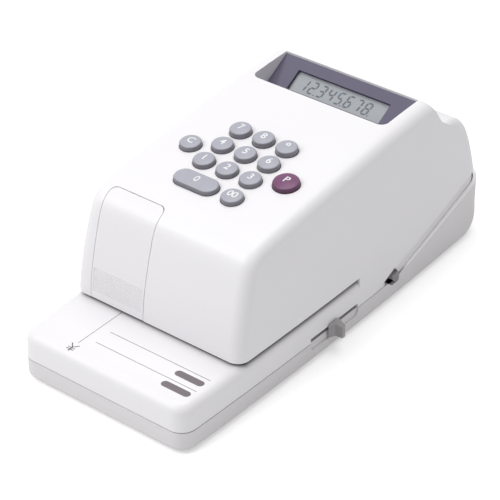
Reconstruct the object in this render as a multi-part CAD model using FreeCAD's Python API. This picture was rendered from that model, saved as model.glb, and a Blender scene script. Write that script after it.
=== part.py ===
# Desk check writer. Millimetres, +Z up, user side toward -Y, origin on the table under the centre.
import FreeCAD
import Part
import math
import os
from FreeCAD import Vector as V

os.makedirs("parts", exist_ok=True)

# ---- case, overall ----
LEN = 291.0            # front to rear
WID = 126.0            # widest, at APEX_Y
SIDE_R = 3300.0        # plan radius of the bowed side walls
APEX_Y = 5.0           # where the sides are widest
DRAFT = 0.05           # side wall lean, inset per mm of height above the seam
WALL = 2.2             # shell thickness
GAP = 0.35             # between pieces that move past each other
FIT = 0.05             # radial running clearance of shafts and pins
FRONT_R = 10.0         # upright corners at the front
REAR_R = 15.0          # upright corners at the rear, at the foot
TUCK_R = 20.0          # rear edge of the lower shell's floor
TUCK_Y = 115.0
DECK_R = 4.0           # the same rounding where it runs out on the rear deck
# ---- seam between the two shells ----
SEAM_Z = 14.5          # height at the front
SEAM_Y = 49.5          # where the seam starts to climb
SEAM_RISE = 0.275      # climb per mm toward the rear
SEAM_GAP = 0.25
RIM_BEVEL = 0.5        # bright edge of the lower shell's rim
BAND_H = 7.2           # stepped-in band above the climbing seam
BAND_D = 1.1           # its depth
BAND_Y = 36.0          # its front end
LIP_H = 3.0            # inner lip that reaches into the lower shell
# ---- check table and throat ----
TABLE_Z = 31.5
TABLE_R = 5.8
SLOT = 2.2             # throat height
SLOT_END = 10.7        # depth stop of the throat
# ---- head ----
HEAD_Y = -98.2         # foot of the head's front face
LEAN = 11.4            # how far the front face leans back
LEAN_Z = 86.5          # height where the leaning face ends
TOP_Y = -67.0          # where the top surface starts
RIDGE_Y = 85.5
RIDGE_Z = 113.2
CROWN = 14.2           # rise of the top surface up to the ridge
HEAD_R = 8.0
# ---- rear deck ----
DECK_Z = 91.5
DECK_Y = 104.0
STEP_Y = 96.5
STEP_Z = 96.5
# ---- display ----
LENS_TILT = 30.0
LENS_HALF = 48.0
LENS_FRONT = 50.0
LENS_T = 2.0
LENS_LIP = 0.9         # case rim left standing at the ridge
LENS_DROP = 0.6
LCD_W = 67.0
LCD_H = 14.3
LCD_U = 8.9            # from the ridge edge down the slope to the glass
# ---- keys ----
KEY_TILT = 7.3
KEY_PITCH = 16.6
KEY_ROW_Y = -33.0      # row of the 1 2 3 keys
KEY_D = 13.0
PRINT_D = 15.6
KEY_UP = 3.5
KEY_DOME = 35.0        # radius of the cap's crown
KEY_TRAVEL = 1.5
KEY_GAP = 0.4
FLANGE = 1.1           # retaining rim beyond the cap
FLANGE_T = 1.0
STEM_R = 2.2
MAT_T = 1.0
BOARD_T = 1.6
COLLAR_H = 1.5
PCB_DROP = 8.0         # key plane down to the key board's face
# ---- ink cover ----
COVER_X0 = -47.5
COVER_X1 = -9.0
COVER_Y = -75.0        # rear edge on the top surface
COVER_T = 2.0
COVER_R = 4.5          # its rear corners
RIB_N = 12
RIB_Z0 = 38.5
RIB_Z1 = 53.3
RIB_H = 0.8
PIN_R = 0.6
HINGE_Y = -80.0        # where the hinge pins sit along the cover
HINGE_IN = 1.1         # their depth under the surface
# ---- printing unit ----
WHEEL_X = -25.7        # print line, marked on the table
WHEEL_Y = -66.0
WHEEL_R = 14.0         # over the type
WHEEL_W = 8.0
WHEEL_CLEAR = 0.9      # type wheel above the table
TYPE_N = 14
TYPE_H = 0.8
SHAFT_R = 2.5
INK_R = 8.0
INK_W = 10.0
INK_PIN_R = 2.0
FEED_X = 1.3
FEED_R = 9.0
FEED_W = 14.0
FEED_CLEAR = 0.5
PRESS_R = 7.0
PRESS_GAP = 1.3        # between the two rollers, released
PRESS_PIN_R = 1.5
HAMMER_STROKE = 0.8
HAMMER_R = 3.0
COIL_R = 10.0
PLATE_T = 1.5          # unit side plates
MODULE = 0.5
PINION_N = 18
WHEEL_N = 36
FEED_N = 18
GEAR_W = 3.5
MOTOR_R = 9.0
MOTOR_L = 20.0
MOTOR_PIN_R = 1.5
WHEEL_MOTOR_DEG = 35.0
FEED_MOTOR_DEG = 35.0
# ---- side controls ----
LEVER_Y = -16.5
LEVER_Z0 = 10.0        # foot of the finger tab
LEVER_Z1 = 19.0        # its top at the wall
LEVER_OUT = 7.2
CHANNEL_Y0 = -36.5
CHANNEL_Y1 = 8.5
CHANNEL_TOP = 17.6     # notch in the upper shell's edge
CHANNEL_Z0 = 15.9      # top of the lower shell's tab behind the notch
POCKET_D = 1.1         # finger pocket under the notch
POCKET_Z = 9.0
RAMP = 0.045           # lift of the pressure roller per mm of lever travel
SWITCH_Y0 = 34.5
SWITCH_Y1 = 50.6
SWITCH_Z0 = 10.9
SWITCH_L = 6.6
SWITCH_H = 5.4
SWITCH_OUT = 0.6
SWITCH_CUT = 3.2       # bevel on the knob's lower front corner
SWITCH_TRAVEL = 3.6    # toward the front
# ---- underside ----
FOOT_H = 1.5
FOOT_R = 5.0
FOOT_AT = ((44.0, -127.0), (38.0, 120.5))   # and one at the origin, under the keys
CELL_R = 13.1
CELL_L = 50.0
CELL_Y = 74.5          # front pair's axis
BAY_T = 1.6            # battery bay walls
SCREW_R = 1.5
BOSS_R = 4.0
BOSS_Z = 10.0          # where the shells' screw bosses meet
BOSS_AT = ((52.0, -117.0), (52.0, 122.0))
PLATE_SCREW_AT = ((55.0, -80.0), (56.5, 0.0))
POST_AT = ((40.0, 53.0), (38.0, 121.0))
POST_Z = 36.0
DOOR_SCREW_AT = (0.0, 120.5)

HEAD_Z = TABLE_Z + SLOT
YF = -LEN / 2
YR = LEN / 2
FLOOR_Z = FOOT_H + WALL
BIG = 400.0


def box(x0, x1, y0, y1, z0, z1):
    return Part.makeBox(x1 - x0, y1 - y0, z1 - z0, V(x0, y0, z0))


def cyl(r, p, d, h):
    return Part.makeCylinder(r, h, V(*p), V(*d))


def cyl_y(r, x, y0, y1, z):
    return cyl(r, (x, y0, z), (0, 1, 0), y1 - y0)


def cyl_z(r, x, y, z0, z1):
    return cyl(r, (x, y, z0), (0, 0, 1), z1 - z0)


def fuse(shapes):
    return shapes[0].multiFuse(shapes[1:]).removeSplitter() if len(shapes) > 1 else shapes[0]


def line(a, b, x=0.0):
    return Part.makeLine(V(x, a[0], a[1]), V(x, b[0], b[1]))


def poly(pts, x=0.0):
    return [line(a, b, x) for a, b in zip(pts[:-1], pts[1:])]


def spline(pts, x=0.0):
    curve = Part.BSplineCurve()
    curve.interpolate([V(x, p[0], p[1]) for p in pts])
    return curve.toShape()


def prism_x(pts, x0, x1):
    face = Part.Face(Part.Wire(poly(pts + [pts[0]], x0)))
    return face.extrude(V(x1 - x0, 0, 0))


def offset(pts, d):
    # moves a curve that runs clockwise round the body inward by d
    out = []
    for i, p in enumerate(pts):
        a, b = pts[max(i - 1, 0)], pts[min(i + 1, len(pts) - 1)]
        dy, dz = b[0] - a[0], b[1] - a[1]
        n = math.hypot(dy, dz)
        out.append((p[0] + d * dz / n, p[1] - d * dy / n))
    return out


def bezier(p0, p1, p2, ts):
    return [tuple((1 - t) ** 2 * p0[k] + 2 * t * (1 - t) * p1[k] + t * t * p2[k] for k in (0, 1)) for t in ts]


def meet(p, q, r, s):
    # intersection of line p-q with line r-s in the YZ plane
    a, b = (q[0] - p[0], q[1] - p[1]), (s[0] - r[0], s[1] - r[1])
    t = ((r[0] - p[0]) * b[1] - (r[1] - p[1]) * b[0]) / (a[0] * b[1] - a[1] * b[0])
    return (p[0] + t * a[0], p[1] + t * a[1])


def pick(shape, test):
    # edges whose end points, middle point and length pass the test
    out = []
    for e in shape.Edges:
        ends = [v.Point for v in e.Vertexes]
        if len(ends) == 2 and test(ends, e.valueAt((e.FirstParameter + e.LastParameter) / 2), e):
            out.append(e)
    return out


# ---- the case's outer form, drawn at any depth under its surface ----
def side_x(y, inset=0.0):
    r = SIDE_R - inset
    return WID / 2 - SIDE_R + math.sqrt(r * r - (y - APEX_Y) ** 2)


def plan(z, inset, y0, y1):
    ym = (y0 + y1) / 2
    a, m, b = side_x(y0, inset), side_x(ym, inset), side_x(y1, inset)
    return Part.Wire([Part.makeLine(V(-a, y0, z), V(a, y0, z)),
                      Part.Arc(V(a, y0, z), V(m, ym, z), V(b, y1, z)).toShape(),
                      Part.makeLine(V(b, y1, z), V(-b, y1, z)),
                      Part.Arc(V(-b, y1, z), V(-m, ym, z), V(-a, y0, z)).toShape()])


def barrel(z0, z1, inset):
    i0, i1 = inset + DRAFT * (z0 - SEAM_Z), inset + DRAFT * (z1 - SEAM_Z)
    ends = YR + 15
    return Part.makeLoft([plan(z0, i0, -ends, ends), plan(z1, i1, -ends, ends)], True, True)


def top_z(y):
    return RIDGE_Z - CROWN * (1 - (y - TOP_Y) / (RIDGE_Y - TOP_Y)) ** 1.5


def head_curve():
    pts = [(HEAD_Y + LEAN * (i / 5.0) ** 1.6, HEAD_Z + (LEAN_Z - HEAD_Z) * i / 5.0) for i in range(6)]
    p0, p2 = pts[-1], (TOP_Y, top_z(TOP_Y))
    s0, s2 = LEAN * 1.6 / (LEAN_Z - HEAD_Z), CROWN * 1.5 / (RIDGE_Y - TOP_Y)
    b = ((p2[0] - p0[0]) - s0 * (p2[1] - p0[1])) / (1 - s0 * s2)
    a = (p2[1] - p0[1]) - b * s2
    pts += bezier(p0, (p0[0] + a * s0, p0[1] + a), p2, (0.25, 0.5, 0.75))
    return pts + [(y, top_z(y)) for y in [TOP_Y + (RIDGE_Y - TOP_Y) * i / 6.0 for i in range(7)]]


def rear_curve():
    p0, p1, p2 = (DECK_Y, DECK_Z), (DECK_Y + 17.5, DECK_Z + 0.4), (YR - 14.5, DECK_Z - 19.0)
    k = (YR - p2[0]) / (p2[0] - p1[0])
    q1, q2 = (YR, p2[1] + k * (p2[1] - p1[1])), (YR, SEAM_Z)
    return bezier(p0, p1, p2, [i / 5.0 for i in range(6)]) + bezier(p2, q1, q2, [i / 5.0 for i in range(1, 6)])


def body(d):
    # the whole outer form, d under the surface; open downward when d > 0
    hc, rc = offset(head_curve(), d), offset(rear_curve(), d)
    hc[0] = (hc[0][0], HEAD_Z)
    ridge, step, deck = (RIDGE_Y, RIDGE_Z), (STEP_Y, STEP_Z), (DECK_Y, DECK_Z)
    if d:
        a = offset([ridge, step], d)
        b = offset([step, deck], d)
        ridge = meet(hc[-2], hc[-1], a[0], a[1])
        step = meet(a[0], a[1], b[0], b[1])
        deck = meet(b[0], b[1], rc[0], rc[1])
        hc[-1], rc[0] = ridge, deck
    foot = SEAM_Z - (8.0 if d else 0.0)
    tz, se = TABLE_Z - d, SLOT_END + d
    edges = poly([(YF + d, foot), (YF + d, tz), (se, tz), (se, HEAD_Z), hc[0]], -80)
    edges.append(spline(hc, -80))
    edges += poly([ridge, step, deck], -80)
    edges.append(spline(rc, -80))
    edges += poly([rc[-1], (rc[-1][0], foot), (YF + d, foot)] if d else [rc[-1], (YF, foot)], -80)
    s = Part.Face(Part.Wire(edges)).extrude(V(160, 0, 0)).common(barrel(foot - 1, RIDGE_Z + 5, d))
    s = s.makeFillet(FRONT_R - d, pick(s, lambda v, m, e: abs(m.y - YF - d) < 0.5 and abs(v[0].z - v[1].z) > 5))
    s = s.makeFillet(TABLE_R - d, pick(s, lambda v, m, e: m.y < se - 0.1 and abs(m.z - tz) < 1e-3
                                       and all(abs(p.z - tz) < 1e-3 for p in v)))
    s = s.makeFillet(HEAD_R - d, pick(s, lambda v, m, e: e.Length > 100 and m.z > 70 and m.y < RIDGE_Y - 5))
    for sign in (1, -1):
        e = pick(s, lambda v, m, e: m.x * sign > 30 and e.Length > 60 and m.y > DECK_Y
                 and m.z > 20 and max(p.z for p in v) > DECK_Z - 8)[0]
        r = (DECK_R, REAR_R) if e.valueAt(e.FirstParameter).z > DECK_Z / 2 + 10 else (REAR_R, DECK_R)
        k = (DECK_R - d * 0.7, REAR_R - d) if r[0] == DECK_R else (REAR_R - d, DECK_R - d * 0.7)
        s = s.makeFillet(k[0], k[1], [e])
    return s


def seam(y):
    return SEAM_Z + max(0.0, y - SEAM_Y) * SEAM_RISE


def band(lo, hi, y0=-160.0):
    # slab between two curves that run lo and hi above the seam
    ys = [y0, SEAM_Y, 160.0]
    return prism_x([(y, seam(y) + lo) for y in ys] + [(y, seam(y) + hi) for y in reversed(ys)], -80, 80)


def slope(shape, tilt, y, z):
    # from a flat working frame to a surface that climbs toward the rear
    shape.rotate(V(0, 0, 0), V(1, 0, 0), tilt)
    shape.translate(V(0, y, z))
    return shape


OUT = body(0)
SKIN = body(WALL)

# ---- display pocket, in the frame of the lens face: y back up the slope, z out of it ----
LENS_SIN, LENS_COS = math.sin(math.radians(LENS_TILT)), math.cos(math.radians(LENS_TILT))
LENS_LEN = (RIDGE_Y - LENS_FRONT) / LENS_COS


def on_lens(shape):
    return slope(shape, LENS_TILT, RIDGE_Y, RIDGE_Z - LENS_DROP)


def lens_z(y, depth):
    return RIDGE_Z - LENS_DROP - LENS_SIN / LENS_COS * (RIDGE_Y - y) - depth / LENS_COS


def pocket(d, depth):
    y0, y1, x = LENS_FRONT - d, RIDGE_Y - LENS_LIP + d, LENS_HALF + d
    s = prism_x([(y0, lens_z(y0, depth)), (y1, lens_z(y1, depth)), (y1, 150), (y0, 150)], -x, x)
    return s.makeFillet(5.0 + d, pick(s, lambda v, m, e: abs(m.y - y0) < 0.01 and abs(v[0].z - v[1].z) > 5))


def lcd_box(grow, z0, z1):
    return on_lens(box(-LCD_W / 2 - grow, LCD_W / 2 + grow, -LCD_U - LCD_H - grow, grow - LCD_U, z0, z1))


# ---- keys, in the frame of the key plane: origin on the surface, z out of it ----
KEY_MID = KEY_ROW_Y + KEY_PITCH / 2
KEYS = (("clear", -2, 0.5, KEY_D, 0), ("1", -1, 0, KEY_D, 0), ("2", 0, 0, KEY_D, 0), ("3", 1, 0, KEY_D, 0),
        ("4", -1, 1, KEY_D, 0), ("5", 0, 1, KEY_D, 0), ("6", 1, 1, KEY_D, 0), ("7", -1, 2, KEY_D, 0),
        ("8", 0, 2, KEY_D, 0), ("9", 1, 2, KEY_D, 0), ("0", -0.47, -1.06, KEY_D, KEY_PITCH / 2),
        ("00", 1.06, -1.06, KEY_D, 0), ("print", 2.12, 0.5, PRINT_D, 0))


def on_keys(shape):
    return slope(shape, KEY_TILT, KEY_MID, top_z(KEY_MID))


def key_at(u, v):
    return KEY_PITCH * u, (KEY_ROW_Y + KEY_PITCH * v - KEY_MID) / math.cos(math.radians(KEY_TILT))


def slab(r, half, x, y, z0, z1):
    # disc, or a stadium along X when half is more than 0
    if not half:
        return cyl_z(r, x, y, z0, z1)
    return fuse([box(x - half, x + half, y - r, y + r, z0, z1),
                 cyl_z(r, x - half, y, z0, z1), cyl_z(r, x + half, y, z0, z1)])


PILLARS = ((-43.0, -31.0), (44.0, -31.0), (-43.0, 31.0), (44.0, 31.0), (8.3, 31.0))


def key_cap(u, v, dia, half):
    x, y = key_at(u, v)
    r, low = dia / 2, -(WALL + KEY_GAP)
    s = slab(r, half, x, y, low, KEY_UP)
    ball = Part.makeSphere(KEY_DOME, V(x - half, y, KEY_UP - KEY_DOME))
    if half:
        ball = fuse([ball, Part.makeSphere(KEY_DOME, V(x + half, y, KEY_UP - KEY_DOME)),
                     cyl(KEY_DOME, (x - half, y, KEY_UP - KEY_DOME), (1, 0, 0), 2 * half)])
    s = s.common(ball)
    s = s.makeFillet(1.2, [e for e in s.Edges if all(p.Point.z > KEY_UP - 1.2 for p in e.Vertexes)
                           and math.hypot(max(0.0, abs(e.CenterOfMass.x - x) - half), e.CenterOfMass.y - y) < r + 1
                           and abs(math.hypot(max(0.0, abs(e.Vertexes[0].Point.x - x) - half),
                                              e.Vertexes[0].Point.y - y) - r) < 0.01])
    s = fuse([s, slab(r + FLANGE, half, x, y, low - FLANGE_T, low),
              cyl_z(STEM_R, x, y, KEY_TRAVEL + 0.3 - PCB_DROP, low - FLANGE_T)])
    return on_keys(s)


def key_mat():
    x0, x1 = PILLARS[0][0] - 4, PILLARS[1][0] + 4
    s = box(x0, x1, -35, 35, -PCB_DROP, MAT_T - PCB_DROP)
    spots = [key_at(k[1], k[2]) for k in KEYS]
    s = fuse([s] + [cyl_z(STEM_R + 1.7, x, y, -PCB_DROP, MAT_T + COLLAR_H - PCB_DROP) for x, y in spots])
    s = s.cut(Part.makeCompound([cyl_z(STEM_R + 0.45, x, y, -20, 0) for x, y in spots]
                                + [cyl_z(3.4, x, y, -20, 0) for x, y in PILLARS]))
    return on_keys(s)


def key_board():
    x0, x1 = PILLARS[0][0] - 4, PILLARS[1][0] + 4
    s = box(x0, x1, -35, 35, -PCB_DROP - BOARD_T, -PCB_DROP)
    return on_keys(s.cut(Part.makeCompound([cyl_z(1.4, x, y, -20, 0) for x, y in PILLARS])))


def board_screws():
    z = -PCB_DROP - BOARD_T
    return on_keys(Part.makeCompound([cyl_z(2.4, x, y, z - 1.6, z).fuse(cyl_z(1.2, x, y, z, z + 6.0))
                                      for x, y in PILLARS]))


# ---- ink cover ----
def cover_region(grow, low):
    # block that marks the cover's outline, seen from the front and over the front edge
    x0, x1, y1 = COVER_X0 - grow, COVER_X1 + grow, COVER_Y + grow
    s = box(x0, x1, HEAD_Y - 10, y1, low, BIG / 3)
    return s.makeFillet(COVER_R + grow, pick(s, lambda v, m, e: abs(m.y - y1) < 0.01 and abs(v[0].z - v[1].z) > 5))


SURFACE = [(p.y, p.z) for p in spline(head_curve()).discretize(Number=400)]


def on_surface(y):
    # height and slope of the head's outline at y
    for a, b in zip(SURFACE[:-1], SURFACE[1:]):
        if a[0] <= y <= b[0]:
            k = (b[1] - a[1]) / (b[0] - a[0])
            return a[1] + k * (y - a[0]), k
    return SURFACE[-1][1], 0.0


def hinge():
    # centre of the pins, a little under the surface
    z, k = on_surface(HINGE_Y)
    n = math.hypot(1, k)
    return HINGE_Y + HINGE_IN * k / n, z - HINGE_IN / n


HINGE = hinge()
COVER_LOW = HEAD_Z + 0.2


def cover_sweep():
    # room for the cover's rear end, which dips into the head as the cover opens
    y, z = HINGE
    pts = [(COVER_X0 - GAP, 0.0)]
    for x in [COVER_X0 + COVER_R * i / 6.0 for i in range(7)] + [COVER_X1 - COVER_R * i / 6.0 for i in range(6, -1, -1)]:
        t = COVER_R - min(x - COVER_X0, COVER_X1 - x, COVER_R)
        edge = COVER_Y - COVER_R + math.sqrt(COVER_R ** 2 - t * t)
        far = math.hypot(edge - y, on_surface(edge)[0] - z) if edge > y else HINGE_IN
        pts.append((x - (GAP if x < -28 else -GAP), far + GAP))
    pts.append((COVER_X1 + GAP, 0.0))
    ring = [V(px, y + r, z) for px, r in pts]
    return Part.Face(Part.makePolygon(ring + [ring[0]])).revolve(V(0, y, z), V(1, 0, 0), 360)


def ink_cover():
    s = OUT.cut(body(COVER_T)).common(cover_region(0, COVER_LOW))
    y, z = HINGE
    for i in range(RIB_N):
        s = s.cut(rib_at(RIB_Z0 + (RIB_Z1 - RIB_Z0) * (i + 0.5) / RIB_N))
    for x0, x1 in ((COVER_X0 - 2.0, COVER_X0 + 4.0), (COVER_X1 - 4.0, COVER_X1 + 2.0)):
        s = s.fuse(cyl(PIN_R, (x0, y, z), (1, 0, 0), x1 - x0))
    return s


def rib_at(z):
    # groove between two grip ribs, cut into the front face
    y = HEAD_Y + LEAN * ((z - HEAD_Z) / (LEAN_Z - HEAD_Z)) ** 1.6
    h = (RIB_Z1 - RIB_Z0) / RIB_N * 0.36
    x0, x1 = COVER_X0 + 1.2, COVER_X1 - 1.2
    return prism_x([(y - 2, z - h), (y - 0.1, z - h), (y + RIB_H, z), (y - 0.1, z + h), (y - 2, z + h)], x0, x1)


# ---- shells ----
def mirror_spots(spots):
    return [(s * x, y) for x, y in spots for s in (1, -1)]


def channel():
    # notch in the upper shell's edge for the lever's neck
    return box(WID / 2 - 8, WID / 2 + 5, CHANNEL_Y0, CHANNEL_Y1, SEAM_Z - LIP_H - 2, CHANNEL_TOP)


def switch_hole():
    # slanted opening through both shells
    y0, y1, z0 = SWITCH_Y0, SWITCH_Y1, SWITCH_Z0
    return prism_x([(y0, z0 + 6.3), (y0 + 11.7, SEAM_Z + BAND_H + 0.2), (y1, z0 + 6.8), (y1, z0 + 0.8),
                    (y1 - 1.2, z0), (y0 + 9.1, z0), (y0 + 4, z0 + 3.7)], WID / 2 - 9, WID / 2 + 5)


def upper_case():
    inner = body(WALL + 1.8)
    s = OUT.cut(SKIN)
    ring = body(1.2).cut(inner).common(band(SEAM_GAP, LIP_H).fuse(band(SEAM_GAP, BAND_H + 2.5, BAND_Y - 3)))
    block = pocket(WALL, LENS_T + WALL).common(OUT)
    posts = [cyl_z(BOSS_R, x, y, BOSS_Z, 60.0 if y > 0 else TABLE_Z - 1) for x, y in mirror_spots(BOSS_AT)]
    posts += [cyl_z(BOSS_R + 1, x * s1, YR - 17, 48, 76).common(box(-80, 80, 100, 160, 40, 90))
              for x, s1 in ((BOSS_AT[1][0], 1), (BOSS_AT[1][0], -1))]
    posts += [cyl_z(3.5, x, y, HEAD_Z + 2, HEAD_Z + 16) for x, y in mirror_spots(PLATE_SCREW_AT)]
    lugs = Part.makeCompound(posts).common(body(1.2))
    pillars = [cyl_z(3.0, x, y, -PCB_DROP, -0.8) for x, y in PILLARS]
    pillars = [on_keys(p) for p in pillars]
    s = fuse([s, ring, block] + lugs.Solids + pillars)
    s = s.cut(band(-BIG, SEAM_GAP).cut(Part.makeCompound(lugs.Solids)))
    lip = body(WALL + 0.3).cut(inner).common(band(-LIP_H, 1.0))
    s = s.fuse(lip)
    rise = seam(160.0)
    groove = prism_x([(SWITCH_Y0, SEAM_Z), (SWITCH_Y0 + 11, SEAM_Z + BAND_H), (SEAM_Y, SEAM_Z + BAND_H),
                      (160.0, rise + BAND_H), (160.0, rise - 1), (SEAM_Y, SEAM_Z - 1)], -80, 80).cut(body(BAND_D))
    lens_cut = [pocket(0, LENS_T), lcd_box(1.2, -LENS_T - WALL - 6, -LENS_T + 1)]
    wells = [on_keys(slab(k[3] / 2 + d, k[4], *key_at(k[1], k[2]), -WALL - 3, z))
             for k in KEYS for d, z in ((KEY_GAP, 6), (FLANGE + KEY_GAP, -WALL))]
    cover = cover_region(GAP, HEAD_Z - 1).cut(body(WALL + 1))
    y, z = HINGE
    pin = cyl(PIN_R + FIT, (COVER_X0 - 2.4, y, z), (1, 0, 0), COVER_X1 - COVER_X0 + 4.8)
    windows = [box(WHEEL_X - 5.5, WHEEL_X + 5.5, WHEEL_Y - 5.5, WHEEL_Y + 5.5, 20, TABLE_Z + 1),
               box(FEED_X - 7.6, FEED_X + 7.6, WHEEL_Y - FEED_W / 2 - 1, WHEEL_Y + FEED_W / 2 + 1, 20, TABLE_Z + 1)]
    screws = [cyl_z(SCREW_R + 0.05, x, y, 0, 21) for x, y in mirror_spots(BOSS_AT)]
    screws += [cyl_z(1.3, x, y, HEAD_Z, HEAD_Z + 12) for x, y in mirror_spots(PLATE_SCREW_AT)]
    screws += [on_keys(cyl_z(1.25, x, y, -12, -2.4)) for x, y in PILLARS]
    rear_slot = box(52.8, 55.2, 93.4, 96.6, 97.2, 104)
    for piece in [groove, channel(), switch_hole(), rear_slot, cover, cover_sweep(), pin] + lens_cut:
        s = s.cut(piece)
    return s.cut(Part.makeCompound(wells + windows + screws))


def tray(d, z0):
    # lower shell's form, d inside its surface
    foot = 3.0 - min(d, 2.0)
    whole = Part.Face(plan(z0, d, YF + d, YR - d)).extrude(V(0, 0, 60))
    front = whole.common(box(-80, 80, -160, TUCK_Y, 0, 70))
    front = front.makeFillet(FRONT_R - d, pick(front, lambda v, m, e: abs(v[0].z - v[1].z) > 5 and m.y < 0))
    front = front.makeFillet(foot, pick(front, lambda v, m, e: m.y < TUCK_Y - 0.1
                                        and all(abs(p.z - z0) < 1e-3 for p in v + [m])))
    rear = whole.common(box(-80, 80, TUCK_Y, 160, 0, 70))
    rear = rear.makeFillet(TUCK_R - d, pick(rear, lambda v, m, e: m.y > YR - d - 0.1
                                            and all(abs(p.z - z0) < 1e-3 for p in v)))
    # the rear corners narrow as they turn under the floor
    for side in (1, -1):
        rear = rear.makeFillet(foot, REAR_R - d, pick(
            rear, lambda v, m, e: m.x * side > 30 and m.y > TUCK_Y + 2 and abs(v[0].z - v[1].z) > 12
            and min(v[0].z, v[1].z) < z0 + 0.1))
    s = front.fuse(rear).removeSplitter().cut(band(0, BIG))
    if d:
        return s
    rim = pick(s, lambda v, m, e: all(abs(p.z - seam(p.y)) < 1e-3 for p in v + [m])
               and (abs(v[0].y - v[1].y) > 1e-3 or abs(m.y) > 100))
    return s.makeChamfer(RIM_BEVEL, rim)


def lower_case():
    s = tray(0, FOOT_H).cut(tray(WALL, FLOOR_Z))
    add = [cyl_z(BOSS_R + 1.2, x, y, FOOT_H + 0.5, BOSS_Z) for x, y in mirror_spots(BOSS_AT)]
    add += [cyl_z(3.0, x, y, FLOOR_Z - 0.5, POST_Z) for x, y in mirror_spots(POST_AT)]
    # battery bay
    y0, y1, x = bay()
    z1 = FLOOR_Z + 2 * CELL_R - 2
    add.append(box(-x - BAY_T, x + BAY_T, y0 - BAY_T, y1 + BAY_T, FLOOR_Z - 0.5, z1).cut(
        box(-x, x, y0, y1, 0, z1 + 1)))
    # rest for the pressure bracket, its guides, lever rails and the switch's stand
    bx, by0, by1 = bracket_box()
    add.append(box(FEED_X - bx, FEED_X + bx, by0, by1, FLOOR_Z - 0.5, BRACKET_Z - 0.4 - RAMP * 16))
    add += [box(FEED_X - bx, FEED_X + bx, by0 - GAP - 2, by0 - GAP, FLOOR_Z - 0.5, BRACKET_Z + 6),
            box(FEED_X - bx, FEED_X + bx, by1 + GAP, by1 + GAP + 2, FLOOR_Z - 0.5, BRACKET_Z + 6)]
    add += [box(x0, x0 + 1.5, -100, 12, FLOOR_Z - 0.5, SLIDE_Z - 0.3) for x0 in (SLIDE_X0 + 0.3, SLIDE_X1 - 1.8)]
    add.append(box(SLIDE_X0 - GAP - 1.5, SLIDE_X0 - GAP, -98, 12, FLOOR_Z - 0.5, SLIDE_Z + 1.5))
    add.append(box(SWITCH_X0 + 1, SWITCH_X1 - 1, SWITCH_Y0 + 4, SWITCH_Y1 - 3, FLOOR_Z - 0.5, SWITCH_Z0 - 2))
    add.append(cyl_z(BOSS_R, *DOOR_SCREW_AT, FLOOR_Z - 0.5, 14.0))
    for piece in add:
        s = s.fuse(piece)
    cut = [cyl_z(3.3, x, y, 0, 5.5) for x, y in mirror_spots(BOSS_AT)]
    cut += [cyl_z(SCREW_R + 0.2, x, y, 0, 20) for x, y in mirror_spots(BOSS_AT)]
    cut += [cyl_z(1.25, x, y, POST_Z - 9, POST_Z + 1) for x, y in mirror_spots(POST_AT)]
    cut += [box(-x, x, y0, y1, 0, FLOOR_Z + 1), switch_hole()]
    cut.append(box(-12, 12, y0 - 2.2, y0 + 1, FOOT_H + 1.0, FLOOR_Z + 0.8).cut(box(-12, 12, y0 - 3, y0, FLOOR_Z, 9)))
    # finger pocket below the lever's notch
    ya, yb, low = CHANNEL_Y0, CHANNEL_Y1 + 0.6, POCKET_Z
    pocket_cut = prism_x([(ya, SEAM_Z + 1), (ya, low + 2.5), (ya + 2.2, low), (yb - 2.4, low), (yb, low + 2.5),
                          (yb, SEAM_Z + 1)], 50, 80)
    cut.append(pocket_cut.cut(tray(POCKET_D, FOOT_H)))
    # battery door's screw and the seat of its tongue
    x, y = DOOR_SCREW_AT
    cut += [cyl_z(SCREW_R + 0.05, x, y, 0, 13), box(-7, 7, y1 - 1, y + 5, 0, FOOT_H + 1.2)]
    for piece in cut:
        s = s.cut(piece)
    # tab that stands behind the notch
    tab = [Part.Face(plan(POCKET_Z, i, YF + 20, YR - 20)).extrude(V(0, 0, CHANNEL_Z0 - POCKET_Z))
           for i in (POCKET_D, WALL + 0.2)]
    return s.fuse(tab[0].cut(tab[1]).common(box(50, 80, CHANNEL_Y0 + 0.4, CHANNEL_Y1 - 0.4, 0, 40)))


# ---- battery bay ----
def bay():
    # front, rear and half width of the bay for two rows of two cells
    return CELL_Y - CELL_R - 0.6, CELL_Y + 3 * CELL_R + 1.4, CELL_L + 2.0


def battery_door():
    y0, y1, x = bay()
    g = 0.3
    s = box(-x + g, x - g, y0 + g, y1 - g, FOOT_H, FLOOR_Z)
    tab = box(-10, 10, y0 - 1.8, y0 + 4, FOOT_H + 1.15, FLOOR_Z - 0.15)
    sx, sy = DOOR_SCREW_AT
    tongue = box(-7 + g, 7 - g, y1 - 2, sy + 5 - g, FOOT_H, FOOT_H + 1.2)
    hole = cyl_z(SCREW_R + 0.2, sx, sy, 0, 6)
    return fuse([s, tab, tongue]).cut(hole)


def door_screw():
    x, y = DOOR_SCREW_AT
    s = cyl_z(SCREW_R, x, y, FOOT_H, 12.0).fuse(cyl_z(2.8, x, y, FOOT_H - 1.1, FOOT_H))
    return s.cut(box(x - 0.4, x + 0.4, y - 2, y + 2, 0, FOOT_H - 0.5))


def cell_axes():
    y2, z = CELL_Y + 2 * CELL_R + 0.8, FLOOR_Z + CELL_R + 0.1
    return (CELL_Y, z), (y2, z)


def cells():
    out = []
    for row, (y, z) in enumerate(cell_axes()):
        d = 1 if row == 0 else -1
        for x0 in (-CELL_L - 0.2, 0.2):
            can = cyl(CELL_R, (x0 + (0 if d > 0 else 1.5), y, z), (1, 0, 0), CELL_L - 1.5)
            nub = cyl(3.2, (x0 + (CELL_L - 1.5 if d > 0 else 0), y, z), (1, 0, 0), 1.5)
            out.append(can.fuse(nub))
    return Part.makeCompound(out)


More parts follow.
